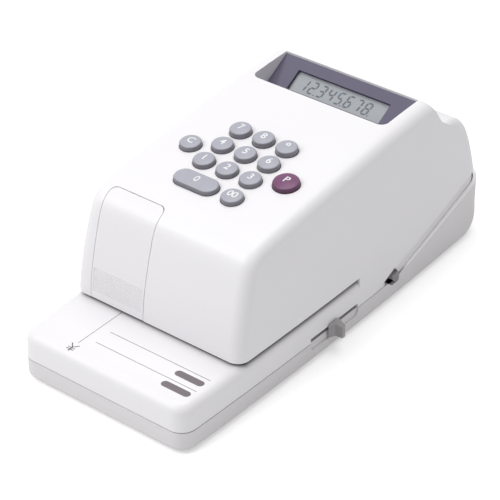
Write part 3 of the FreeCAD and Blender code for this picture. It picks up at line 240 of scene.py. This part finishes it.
mounted = maths(laminate, "GREATER_THAN", high.outputs["Z"], given.outputs["Parts above"])
fitted = add_node(laminate, "ShaderNodeMix", [("data_type", "RGBA")],
                  _0=mounted, _6=etched.outputs[2], _7=given.outputs["Parts"])
resist = add_node(laminate, "ShaderNodeTexNoise", Vector=place, Scale=300.0, Detail=2.0)
glaze = maths(laminate, "MULTIPLY_ADD", resist.outputs["Fac"], 0.2, 0.25)
laminate.links.new(fitted.outputs[2], result.inputs["Color"])
laminate.links.new(glaze, result.inputs["Roughness"])
laminate.links.new(tracks.outputs["Color"], result.inputs["Height"])
wear(finish("main_laminate", laminate, 0.00004, {"Parts above": 0.0378}), "main_board")
wear(finish("key_laminate", laminate, 0.00004, {"Parts above": 1.0}), "key_board")
wear(finish("key_rubber", rubber_speck, 0.00003,
            {"Color": (0.30, 0.31, 0.32, 1), "Bloom": (0.36, 0.37, 0.37, 1), "Roughness": 0.5,
             "Speck": 2600.0},
            Subsurface_Weight=0.1, Subsurface_Radius=(0.002, 0.002, 0.002)), "key_mat")

# Under the check table: a solenoid wound in copper and taped drives the print hammer,
# and the side lever's ramp lifts the pressure roller's sheet-steel bracket.
wear(finish("coil_tape", drawn_metal, 0.00012,
            {"Color": (0.16, 0.055, 0.012, 1), "Stain": (0.07, 0.03, 0.01, 1), "Stained": 0.7,
             "Roughness": 0.4, "Streaks": (60.0, 60.0, 1500.0)}, Coat_Weight=0.3), "hammer_coil")
type_metal = finish("type_metal", drawn_metal, 0.00002,
                    {"Color": (0.36, 0.36, 0.37, 1), "Stain": (0.012, 0.008, 0.03, 1), "Stained": 1.0,
                     "Roughness": 0.28, "Streaks": (1600.0, 60.0, 1600.0)}, Metallic=0.9)
wear(type_metal, "hammer", "type_wheel")
unit_steel = finish("unit_steel", drawn_metal, 0.00002,
                    {"Color": (0.50, 0.51, 0.53, 1), "Stain": (0.40, 0.38, 0.33, 1), "Stained": 0.4,
                     "Roughness": 0.30, "Streaks": (60.0, 2400.0, 2400.0)}, Metallic=1.0)
wear(unit_steel, "pressure_bracket", "unit_frame")
shaft_steel = finish("shaft_steel", drawn_metal, 0.000004,
                     {"Color": (0.60, 0.60, 0.61, 1), "Stained": 0.15, "Roughness": 0.10,
                      "Streaks": (3000.0, 300.0, 3000.0)}, Metallic=1.0)
wear(shaft_steel, "pressure_pin", "wheel_shaft", "feed_shaft")
roller_rubber = finish("roller_rubber", rubber_speck, 0.00005,
                       {"Color": (0.02, 0.02, 0.021, 1), "Bloom": (0.05, 0.05, 0.05, 1), "Roughness": 0.62,
                        "Speck": 2200.0})
wear(roller_rubber, "pressure_roller", "feed_roller")

# Side lever and power switch. Grey moulded knobs, satin, polished a little where a
# thumb pushes them; the switch's own body is a black moulding behind the wall.
grey_plastic = finish("grey_plastic", mould_grain, 0.00003,
                      {"Color": (0.36, 0.35, 0.357, 1), "Tone": 0.10, "Roughness": 0.36, "Grain": 2400.0})
wear(grey_plastic, "release_lever", "power_knob")
wear(finish("switch_black", mould_grain, 0.00003,
            {"Color": (0.018, 0.018, 0.02, 1), "Tone": 0.2, "Roughness": 0.45}), "switch_body")

# Upper shell: check table, throat, head and rear deck in one moulding. Near-white with
# fine matt grain; painted shade turns the throat's inside near-black, deeper in from its
# mouth, and painted shade darkens the stepped-in band above the climbing rim a little.
SIDE_HALF, WIDEST_Y, SIDE_BOW = 61.7 * mm, 5 * mm, -0.1515
THROAT_Y0, THROAT_Y1, THROAT_Z, THROAT_HALF = -97.9 * mm, 12.5 * mm, 31.2 * mm, 2.7 * mm
HEAD_CORNER, THROAT_SHADE_DEPTH = 8 * mm, 2.8 * mm
BAND_TOP, BAND_SHADE = 8.1 * mm, 0.92

case_skin, given, result = shader_group(
    "case_skin",
    [("Color", "NodeSocketColor", (0.88, 0.866, 0.886, 1)),
     ("Throat shade", "NodeSocketColor", (0.012, 0.010, 0.014, 1)),
     ("Half width", "NodeSocketFloat", SIDE_HALF), ("Front", "NodeSocketFloat", THROAT_Y0),
     ("Back", "NodeSocketFloat", THROAT_Y1), ("Corner", "NodeSocketFloat", HEAD_CORNER),
     ("Band top", "NodeSocketFloat", BAND_TOP), ("Rise", "NodeSocketFloat", RIM_RISE)],
    [("Color", "NodeSocketColor"), ("Roughness", "NodeSocketFloat"), ("Height", "NodeSocketFloat")])
place = add_node(case_skin, "ShaderNodeTexCoord").outputs["Object"]
grain = add_node(case_skin, "ShaderNodeGroup", [("node_tree", mould_grain)], Color=given.outputs["Color"],
                 Tone=0.02, Roughness=0.38, Grain=2400.0)
spot = add_node(case_skin, "ShaderNodeSeparateXYZ", Vector=place)
bowed = maths(case_skin, "SUBTRACT", spot.outputs["Y"], WIDEST_Y)
bowed = maths(case_skin, "MULTIPLY", bowed, bowed)
bowed = maths(case_skin, "MULTIPLY_ADD", bowed, SIDE_BOW, given.outputs["Half width"])
beside = maths(case_skin, "ABSOLUTE", spot.outputs["X"])
beside = maths(case_skin, "SUBTRACT", bowed, beside)
behind = maths(case_skin, "SUBTRACT", spot.outputs["Y"], given.outputs["Front"])
ahead = maths(case_skin, "SUBTRACT", given.outputs["Back"], spot.outputs["Y"])
rounded = []
for depth in (beside, behind):
    short = maths(case_skin, "SUBTRACT", given.outputs["Corner"], depth)
    short = maths(case_skin, "MAXIMUM", short, 0.0)
    rounded.append(maths(case_skin, "MULTIPLY", short, short))
corner = maths(case_skin, "ADD", rounded[0], rounded[1])
corner = maths(case_skin, "SQRT", corner)
corner = maths(case_skin, "SUBTRACT", given.outputs["Corner"], corner)
within = maths(case_skin, "MINIMUM", beside, behind)
within = maths(case_skin, "MINIMUM", within, corner)
within = maths(case_skin, "MINIMUM", within, ahead)
# Painted shade: at throat height inside the head's outline the colour turns near-black over the first few
# millimetres in from the mouth, in place of the throat's shade.
shade = add_node(case_skin, "ShaderNodeMapRange", [("interpolation_type", "SMOOTHSTEP")],
                 Value=within, From_Min=0.0, From_Max=THROAT_SHADE_DEPTH)
low = maths(case_skin, "COMPARE", spot.outputs["Z"], THROAT_Z, THROAT_HALF)
shade = maths(case_skin, "MULTIPLY", shade.outputs[0], low)
climb = maths(case_skin, "MULTIPLY_ADD",
              spot.outputs["Y"], given.outputs["Rise"], given.outputs["Band top"])
above = maths(case_skin, "SUBTRACT", spot.outputs["Z"], climb)
# Painted shade: below the climbing line the band is coloured a little darker, in place of the shade under its
# overhang.
band_shade = add_node(case_skin, "ShaderNodeMapRange", Value=above, From_Min=0.3 * mm, From_Max=-0.3 * mm,
                To_Min=1.0, To_Max=BAND_SHADE)
band_shaded = add_node(case_skin, "ShaderNodeVectorMath", [("operation", "SCALE")],
                  _0=grain.outputs["Color"], Scale=band_shade.outputs[0])
throat_shaded = add_node(case_skin, "ShaderNodeMix", [("data_type", "RGBA")],
                 _0=shade, _6=band_shaded.outputs[0], _7=given.outputs["Throat shade"])
case_skin.links.new(throat_shaded.outputs[2], result.inputs["Color"])
case_skin.links.new(grain.outputs["Roughness"], result.inputs["Roughness"])
case_skin.links.new(grain.outputs["Height"], result.inputs["Height"])
wear(finish("case_plastic", case_skin, 0.00003, {}, IOR=1.5), "upper_case")

# Ink cover. Same white plastic, clipped into the head's front on two pins, with a
# ribbed grip at its lower end.
cover_plastic = finish("cover_plastic", mould_grain, 0.00003,
                       {"Color": (0.87, 0.856, 0.876, 1), "Tone": 0.02, "Roughness": 0.38, "Grain": 2400.0},
                       IOR=1.5)
wear(cover_plastic, "ink_cover")

# Pad-printed marks on the table: the yen sign and its line show where the first
# figure prints, two base lines are for two sizes of paper, each with its dark tab.
print_ink = finish("print_ink", mould_grain, 0.00001,
                   {"Color": (0.11, 0.085, 0.10, 1), "Tone": 0.25, "Roughness": 0.55, "Grain": 5200.0})
INK_T = 0.03
TABLE_TOP = 31.5
PRINT_X, YEN_Y = -25.7, -138.7
BASE_Y, TAB_Y, TAB_H = (-115.0, -127.0), (-120.3, -131.9), 4.9


def plate_of(name, outlines, thick, material, body, frame_of=None):
    """Flat figures, each an outline in mm, raised by a thickness in mm and put in place."""
    mesh = bmesh.new()
    for outline in outlines:
        face = mesh.faces.new([mesh.verts.new((x, y, 0)) for x, y in outline])
        raised = bmesh.ops.extrude_face_region(mesh, geom=[face])["geom"]
        lifted = [v for v in raised if isinstance(v, bmesh.types.BMVert)]
        bmesh.ops.translate(mesh, vec=(0, 0, thick), verts=lifted)
    bmesh.ops.recalc_face_normals(mesh, faces=mesh.faces)
    data = bpy.data.meshes.new(name)
    mesh.to_mesh(data)
    data.transform(Matrix.Scale(mm, 4) @ (frame_of or Matrix.Identity(4)))
    data.materials.append(material)
    piece = bpy.data.objects.new(name, data)
    bpy.context.scene.collection.objects.link(piece)
    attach(piece, body)
    return piece


def bar(x0, y0, x1, y1, width):
    """A straight stroke between two points."""
    length = math.hypot(x1 - x0, y1 - y0)
    nx, ny = -(y1 - y0) / length * width / 2, (x1 - x0) / length * width / 2
    return [(x0 + nx, y0 + ny), (x0 - nx, y0 - ny), (x1 - nx, y1 - ny), (x1 + nx, y1 + ny)]


def tab(x0, x1, y, height):
    """A bar with fully round ends."""
    r = height / 2
    turn = [math.radians(-90 + 15 * i) for i in range(13)]
    return ([(x1 - r + r * math.cos(a), y + r * math.sin(a)) for a in turn]
            + [(x0 + r - r * math.cos(a), y - r * math.sin(a)) for a in turn])


on_table = Matrix.Translation((0, 0, TABLE_TOP))
yen = [bar(PRINT_X, YEN_Y - 3.3, PRINT_X, YEN_Y + 0.4, 0.62),
       bar(PRINT_X + 0.12, YEN_Y + 0.1, PRINT_X - 2.7, YEN_Y + 3.4, 0.62),
       bar(PRINT_X - 0.12, YEN_Y + 0.1, PRINT_X + 2.7, YEN_Y + 3.4, 0.62)]
yen_bars = [bar(PRINT_X - 2.5, YEN_Y + dy, PRINT_X + 2.5, YEN_Y + dy, 0.5) for dy in (-0.35, -1.75)]
plate_of("yen_sign", yen, INK_T, print_ink, "case", on_table)
plate_of("yen_sign_bars", yen_bars, INK_T * 0.8, print_ink, "case", on_table)
plate_of("print_line", [bar(PRINT_X, -133.6, PRINT_X, -88.0, 0.34)], INK_T, print_ink, "case",
         on_table)
plate_of("base_lines", [bar(-18.4, y, 53.5, y, 0.36) for y in BASE_Y], INK_T, print_ink, "case",
         on_table)
tab_ink = finish("tab_ink", mould_grain, 0.00001,
                 {"Color": (0.17, 0.145, 0.155, 1), "Tone": 0.18, "Roughness": 0.5, "Grain": 5200.0})
plate_of("base_tabs", [tab(33.4, 53.0, y, TAB_H) for y in TAB_Y], INK_T, tab_ink, "case",
         on_table)

# Index mark on the head's right side, a small raised white pointer at the height of
# the throat that shows where the print falls.
mark_white = finish("mark_white", mould_grain, 0.00001,
                    {"Color": (0.98, 0.98, 0.98, 1), "Tone": 0.02, "Roughness": 0.4})
on_side = (Matrix.Translation((61.53, -46.0, 36.0)) @ Matrix.Rotation(math.radians(-2.9), 4, "Y")
           @ Matrix.Rotation(math.radians(90), 4, "Z") @ Matrix.Rotation(math.radians(90), 4, "X"))
plate_of("index_mark", [[(-1.0, 0.9), (1.0, 0.9), (0.0, -1.2)]], 0.06, mark_white, "case",
         on_side)

# Printing unit. Zinc-plated plates carry the type wheel, the feed roller, their nylon
# gears and two small motors; the slot plate below is a dark moulding.
inner_plastic = finish("inner_plastic", mould_grain, 0.00004,
                       {"Color": (0.045, 0.045, 0.05, 1), "Tone": 0.15, "Roughness": 0.5, "Grain": 1800.0})
wear(inner_plastic, "slot_plate", "ink_core")
wear(finish("gear_nylon", mould_grain, 0.00002,
            {"Color": (0.62, 0.60, 0.53, 1), "Tone": 0.05, "Roughness": 0.38, "Grain": 1500.0},
            Subsurface_Weight=0.15, Subsurface_Radius=(0.002, 0.002, 0.0015)),
     "wheel_gear", "feed_gear", "wheel_pinion", "feed_pinion")
wear(finish("motor_can", drawn_metal, 0.00001,
            {"Color": (0.55, 0.55, 0.57, 1), "Stain": (0.45, 0.43, 0.38, 1), "Stained": 0.3,
             "Roughness": 0.22, "Streaks": (2400.0, 80.0, 2400.0)}, Metallic=1.0),
     "wheel_motor", "feed_motor")

# Ink roller. Thick wool felt soaked in blue-black ink, pressed over a core that pulls
# off its pin once the cover is open.
felt, given, result = shader_group(
    "felt",
    [("Color", "NodeSocketColor", (0.02, 0.012, 0.05, 1)),
     ("Fibre", "NodeSocketColor", (0.07, 0.05, 0.12, 1)), ("Roughness", "NodeSocketFloat", 0.85)],
    [("Color", "NodeSocketColor"), ("Roughness", "NodeSocketFloat"), ("Height", "NodeSocketFloat")])
place = add_node(felt, "ShaderNodeTexCoord").outputs["Object"]
hairs = add_node(felt, "ShaderNodeTexNoise", Vector=place, Scale=1900.0, Detail=6.0, Roughness=0.7,
                 Distortion=1.5)
wet = add_node(felt, "ShaderNodeTexNoise", Vector=place, Scale=160.0, Detail=2.0)
matted = add_node(felt, "ShaderNodeMix", [("data_type", "RGBA")],
                  _0=hairs.outputs["Fac"], _6=given.outputs["Color"], _7=given.outputs["Fibre"])
damp = maths(felt, "MULTIPLY_ADD", wet.outputs["Fac"], -0.5, given.outputs["Roughness"])
felt.links.new(matted.outputs[2], result.inputs["Color"])
felt.links.new(damp, result.inputs["Roughness"])
felt.links.new(hairs.outputs["Fac"], result.inputs["Height"])
wear(finish("ink_felt", felt, 0.0003, {}), "ink_roller")

# Keys. Blue-grey satin caps and a larger plum one, moulded, with white legends
# printed on their domes and worn smooth by fingers.
key_skin, given, result = shader_group(
    "key_skin",
    [("Color", "NodeSocketColor", (0.40, 0.405, 0.465, 1)),
     ("Shaded flank", "NodeSocketColor", (0.20, 0.195, 0.22, 1)),
     ("Roughness", "NodeSocketFloat", 0.33)],
    [("Color", "NodeSocketColor"), ("Roughness", "NodeSocketFloat"), ("Height", "NodeSocketFloat")])
# Painted shade: the caps' sides are coloured darker than their tops according to how far the surface tilts
# away from upward.
outward = add_node(key_skin, "ShaderNodeTexCoord").outputs["Normal"]
facing = add_node(key_skin, "ShaderNodeSeparateXYZ", Vector=outward)
upward = add_node(key_skin, "ShaderNodeMapRange", [("interpolation_type", "SMOOTHSTEP")],
                  Value=facing.outputs["Z"], From_Min=0.45, From_Max=0.92)
side_shaded = add_node(key_skin, "ShaderNodeMix", [("data_type", "RGBA")],
                  _0=upward.outputs[0], _6=given.outputs["Shaded flank"], _7=given.outputs["Color"])
grain = add_node(key_skin, "ShaderNodeGroup", [("node_tree", mould_grain)], Color=side_shaded.outputs[2],
                 Tone=0.05, Roughness=given.outputs["Roughness"], Grain=3000.0)
for socket in grain.outputs:
    key_skin.links.new(socket, result.inputs[socket.name])
key_plastic = finish("key_plastic", key_skin, 0.00002, {})
plum_plastic = finish("plum_plastic", key_skin, 0.00002,
                      {"Color": (0.16, 0.045, 0.13, 1), "Shaded flank": (0.085, 0.022, 0.068, 1), "Roughness": 0.32})
legend_white = finish("legend_white", mould_grain, 0.00001,
                      {"Color": (0.86, 0.86, 0.88, 1), "Tone": 0.03, "Roughness": 0.45})
KEY_TILT = math.radians(7.3)
KEY_PITCH, MIDDLE_ROW, MIDDLE_Z = 16.6, -16.4, 105.54
KEY_TOP, KEY_DOME = 3.5, 35.0
LEGEND_SIZE, LEGEND_T, LEGEND_UP, LEGEND_SUNK, LONGEST_EDGE = 6.8, 0.07, 0.5, 0.045, 0.8
legends = [("key_clear", "C", -2 * KEY_PITCH, -24.7)]
for number in range(9):
    x, y = (number % 3 - 1) * KEY_PITCH, MIDDLE_ROW + (number // 3 - 1) * KEY_PITCH
    legends.append(("key_%d" % (number + 1), str(number + 1), x, y))
legends += [("key_0", "0", -7.8, -50.6), ("key_00", "00", 17.6, -50.6), ("key_print", "P", 35.19, -24.7)]
for name, letters, x, y in legends:
    z = round(MIDDLE_Z + (y - MIDDLE_ROW) * math.tan(KEY_TILT), 2)
    wear(plum_plastic if name == "key_print" else key_plastic, name)
    line = bpy.data.curves.new(name + "_text", "FONT")
    line.body = letters
    line.size = LEGEND_SIZE
    line.align_x = "CENTER"
    line.align_y = "CENTER"
    line.space_character = 0.92
    line.extrude = LEGEND_T
    line.offset = LEGEND_T
    holder = bpy.data.objects.new(name + "_text", line)
    bpy.context.scene.collection.objects.link(holder)
    bpy.context.view_layer.update()
    data = bpy.data.meshes.new_from_object(holder.evaluated_get(bpy.context.evaluated_depsgraph_get()))
    bpy.data.objects.remove(holder)
    mesh = bmesh.new()
    mesh.from_mesh(data)
    for _ in range(3):
        long_edges = [e for e in mesh.edges if e.calc_length() > LONGEST_EDGE]
        bmesh.ops.subdivide_edges(mesh, edges=long_edges, cuts=1)
        bmesh.ops.triangulate(mesh, faces=[f for f in mesh.faces if len(f.verts) > 4])
    for corner in mesh.verts:
        corner.co.y += LEGEND_UP
        corner.co.z += KEY_TOP - LEGEND_SUNK - (corner.co.x ** 2 + corner.co.y ** 2) / (2 * KEY_DOME)
    mesh.to_mesh(data)
    data.transform(Matrix.Scale(mm, 4) @ Matrix.Translation((x, y, z)) @ Matrix.Rotation(KEY_TILT, 4, "X"))
    data.materials.clear()
    data.materials.append(legend_white)
    legend = bpy.data.objects.new(name + "_legend", data)
    bpy.context.scene.collection.objects.link(legend)
    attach(legend, name)

# Display. A tinted acrylic panel, printed dark on its back except for a clear window,
# over a grey liquid-crystal glass with slanted seven-stroke figures.
LENS_TILT = math.radians(30.0)
RIDGE_Y, LENS_Z, LENS_T = 85.5, 112.6, 2.0
LCD_X, LCD_W, LCD_U, LCD_H = 0.0, 67.0, 8.9, 14.3
on_slope = Matrix.Translation((0, RIDGE_Y, LENS_Z)) @ Matrix.Rotation(LENS_TILT, 4, "X")

tinted_panel, given, result = shader_group(
    "tinted_panel",
    [("Color", "NodeSocketColor", (0.118, 0.108, 0.165, 1)), ("Centre", "NodeSocketVector", (0, 0, 0)),
     ("Half width", "NodeSocketFloat", LCD_W / 2 * mm), ("Half height", "NodeSocketFloat", LCD_H / 2 * mm)],
    [("Color", "NodeSocketColor"), ("Roughness", "NodeSocketFloat"), ("Alpha", "NodeSocketFloat")])
place = add_node(tinted_panel, "ShaderNodeTexCoord").outputs["Object"]
away = add_node(tinted_panel, "ShaderNodeVectorMath", [("operation", "SUBTRACT")], _0=place,
                _1=given.outputs["Centre"])
level = add_node(tinted_panel, "ShaderNodeVectorRotate", [("rotation_type", "X_AXIS")],
                 Vector=away.outputs[0], Angle=-LENS_TILT)
spread = add_node(tinted_panel, "ShaderNodeSeparateXYZ", Vector=level.outputs[0])
inside = []
for axis, limit in (("X", "Half width"), ("Y", "Half height")):
    near = maths(tinted_panel, "ABSOLUTE", spread.outputs[axis])
    inside.append(maths(tinted_panel, "LESS_THAN", near, given.outputs[limit]))
clear = maths(tinted_panel, "MULTIPLY", inside[0], inside[1])
shown = maths(tinted_panel, "MULTIPLY_ADD", clear, -0.92, 1.0)
smears = add_node(tinted_panel, "ShaderNodeTexNoise", Vector=place, Scale=70.0, Detail=4.0)
wiped = maths(tinted_panel, "MULTIPLY_ADD", smears.outputs["Fac"], 0.10, 0.05)
depth = add_node(tinted_panel, "ShaderNodeMix", [("data_type", "RGBA")],
                 _0=smears.outputs["Fac"], _6=given.outputs["Color"], _7=(0.140, 0.130, 0.188, 1))
tinted_panel.links.new(depth.outputs[2], result.inputs["Color"])
tinted_panel.links.new(wiped, result.inputs["Roughness"])
tinted_panel.links.new(shown, result.inputs["Alpha"])
window_middle = on_slope @ Vector((LCD_X, -LCD_U - LCD_H / 2, -LENS_T / 2)) * mm
wear(finish("tinted_panel", tinted_panel, 0, {"Centre": window_middle}, IOR=1.49), "display_lens")

lcd_glass = finish("lcd_glass", mould_grain, 0.000002,
                   {"Color": (0.50, 0.53, 0.55, 1), "Tone": 0.03, "Roughness": 0.25, "Grain": 900.0})
wear(lcd_glass, "lcd_module")
lcd_ink = finish("lcd_ink", mould_grain, 0.000001,
                 {"Color": (0.155, 0.18, 0.20, 1), "Tone": 0.05, "Roughness": 0.3})
STROKES = {"0": "abcdef", "1": "bc", "2": "abdeg", "3": "abcdg", "4": "bcfg", "5": "acdfg", "6": "acdefg",
           "7": "abc", "8": "abcdefg"}
DIGIT_W, DIGIT_H, STROKE, STROKE_GAP, SLANT, PITCH = 4.7, 9.2, 1.15, 0.16, 0.16, 6.55


def stroke(letter, x, y):
    """One bevelled stroke of a seven-stroke figure whose lower left corner is x, y."""
    w, h, t, g = DIGIT_W, DIGIT_H, STROKE, STROKE_GAP
    flat = {"a": h - t / 2, "g": h / 2, "d": t / 2}
    if letter in flat:
        yy = flat[letter]
        pts = [(g + t / 2, yy), (g + t, yy + t / 2), (w - g - t, yy + t / 2), (w - g - t / 2, yy),
               (w - g - t, yy - t / 2), (g + t, yy - t / 2)]
    else:
        xx = t / 2 if letter in "ef" else w - t / 2
        y0, y1 = (t / 2, h / 2) if letter in "ce" else (h / 2, h - t / 2)
        pts = [(xx, y0 + g), (xx + t / 2, y0 + g + t / 2), (xx + t / 2, y1 - g - t / 2), (xx, y1 - g),
               (xx - t / 2, y1 - g - t / 2), (xx - t / 2, y0 + g + t / 2)]
    return [(x + px + SLANT * py, y + py) for px, py in pts]


figures = []
start_x, start_y = -28.6, -LCD_U - LCD_H / 2 - DIGIT_H / 2
for place_no, digit in enumerate("12345678"):
    x = start_x + PITCH * place_no
    figures += [stroke(letter, x, start_y) for letter in STROKES[digit]]
    if digit in "258":
        figures.append([(x + DIGIT_W + dx, start_y + dy) for dx, dy in
                        ((0.45, -0.1), (1.35, -0.1), (1.45, 0.75), (0.55, 0.75))])
plate_of("display_figures", figures, 0.03, lcd_ink, "case",
         on_slope @ Matrix.Translation((0, 0, -LENS_T - 0.1)))

# Screws. Zinc-plated, slotted where they show: four join the shells from below, four
# hold the slot plate, the rest hold the boards and the battery door.
screw_steel = finish("screw_steel", drawn_metal, 0.00001,
                     {"Color": (0.50, 0.50, 0.49, 1), "Stain": (0.38, 0.35, 0.26, 1), "Stained": 0.5,
                      "Roughness": 0.25, "Streaks": (1500.0, 1500.0, 300.0)}, Metallic=1.0)
wear(screw_steel, "board_screws", "main_screws", "case_screws", "plate_screws", "door_screw")

# Studio: a white sweep, a broad soft lamp from the user's left and another overhead,
# and a camera over the user's right shoulder.
floor_data = bpy.data.meshes.new("floor")
floor_data.from_pydata([(-4, -4, 0), (4, -4, 0), (4, 4, 0), (-4, 4, 0)], [], [(0, 1, 2, 3)])
floor = bpy.data.objects.new("floor", floor_data)
floor.location.z = -0.0002
bpy.context.scene.collection.objects.link(floor)
paper = bpy.data.materials.new("floor_paper")
paper.use_nodes = True
tree = paper.node_tree
tree.nodes["Principled BSDF"].inputs["Roughness"].default_value = 0.9
tree.nodes["Principled BSDF"].inputs["Emission Color"].default_value = (1, 1, 1, 1)
lift = maths(tree, "MULTIPLY", add_node(tree, "ShaderNodeLightPath").outputs["Is Camera Ray"], 0.35)
tree.links.new(lift, tree.nodes["Principled BSDF"].inputs["Emission Strength"])
place = add_node(tree, "ShaderNodeTexCoord").outputs["Object"]
fibres = add_node(tree, "ShaderNodeTexNoise", Vector=place, Scale=30.0, Detail=4.0)
tint = add_node(tree, "ShaderNodeMix", [("data_type", "RGBA")],
                _0=fibres.outputs["Fac"], _6=(0.93, 0.93, 0.94, 1), _7=(0.96, 0.96, 0.96, 1))
tree.links.new(tint.outputs[2], tree.nodes["Principled BSDF"].inputs["Base Color"])
floor_data.materials.append(paper)

world = bpy.data.worlds.new("studio")
bpy.context.scene.world = world
world.use_nodes = True
tree = world.node_tree
sky = tree.nodes["Background"]
rays = add_node(tree, "ShaderNodeLightPath")
seen = maths(tree, "MAXIMUM", rays.outputs["Is Camera Ray"], rays.outputs["Is Glossy Ray"])
seen = maths(tree, "MAXIMUM", seen, rays.outputs["Is Transmission Ray"])
strength = add_node(tree, "ShaderNodeMix", [("data_type", "FLOAT")], _0=seen, _2=0.40, _3=1.0)
sky.inputs["Color"].default_value = (1.0, 1.0, 1.0, 1)
tree.links.new(strength.outputs[0], sky.inputs["Strength"])


def lamp(name, position, target, power, width):
    """A square soft lamp aimed at a point."""
    light = bpy.data.lights.new(name, "AREA")
    light.energy = power
    light.size = width
    holder = bpy.data.objects.new(name, light)
    holder.location = position
    holder.rotation_euler = (Vector(target) - Vector(position)).to_track_quat("-Z", "Y").to_euler()
    bpy.context.scene.collection.objects.link(holder)


lamp("main_lamp", (-0.7, -1.1, 1.5), (0, 0, 0.05), 15.0, 1.2)
lamp("top_lamp", (-0.1, 0.3, 1.7), (0, 0, 0.05), 13.0, 1.2)

view = bpy.data.cameras.new("camera")
view.sensor_width = 36.0
view.lens = 151.72
view.clip_start, view.clip_end = 0.05, 20.0
camera = bpy.data.objects.new("camera", view)
viewpoint = Vector((0.62802, -0.80998, 0.72881))
right, up = Vector((0.78591, 0.61834, -0.00071)), Vector((-0.34682, 0.44176, 0.82739))
back = right.cross(up).normalized()
turn = Matrix((right, up, back)).transposed()
camera.matrix_world = Matrix.Translation(viewpoint) @ turn.to_4x4()
bpy.context.scene.collection.objects.link(camera)
bpy.context.scene.camera = camera
bpy.context.scene.view_settings.view_transform = "Standard"
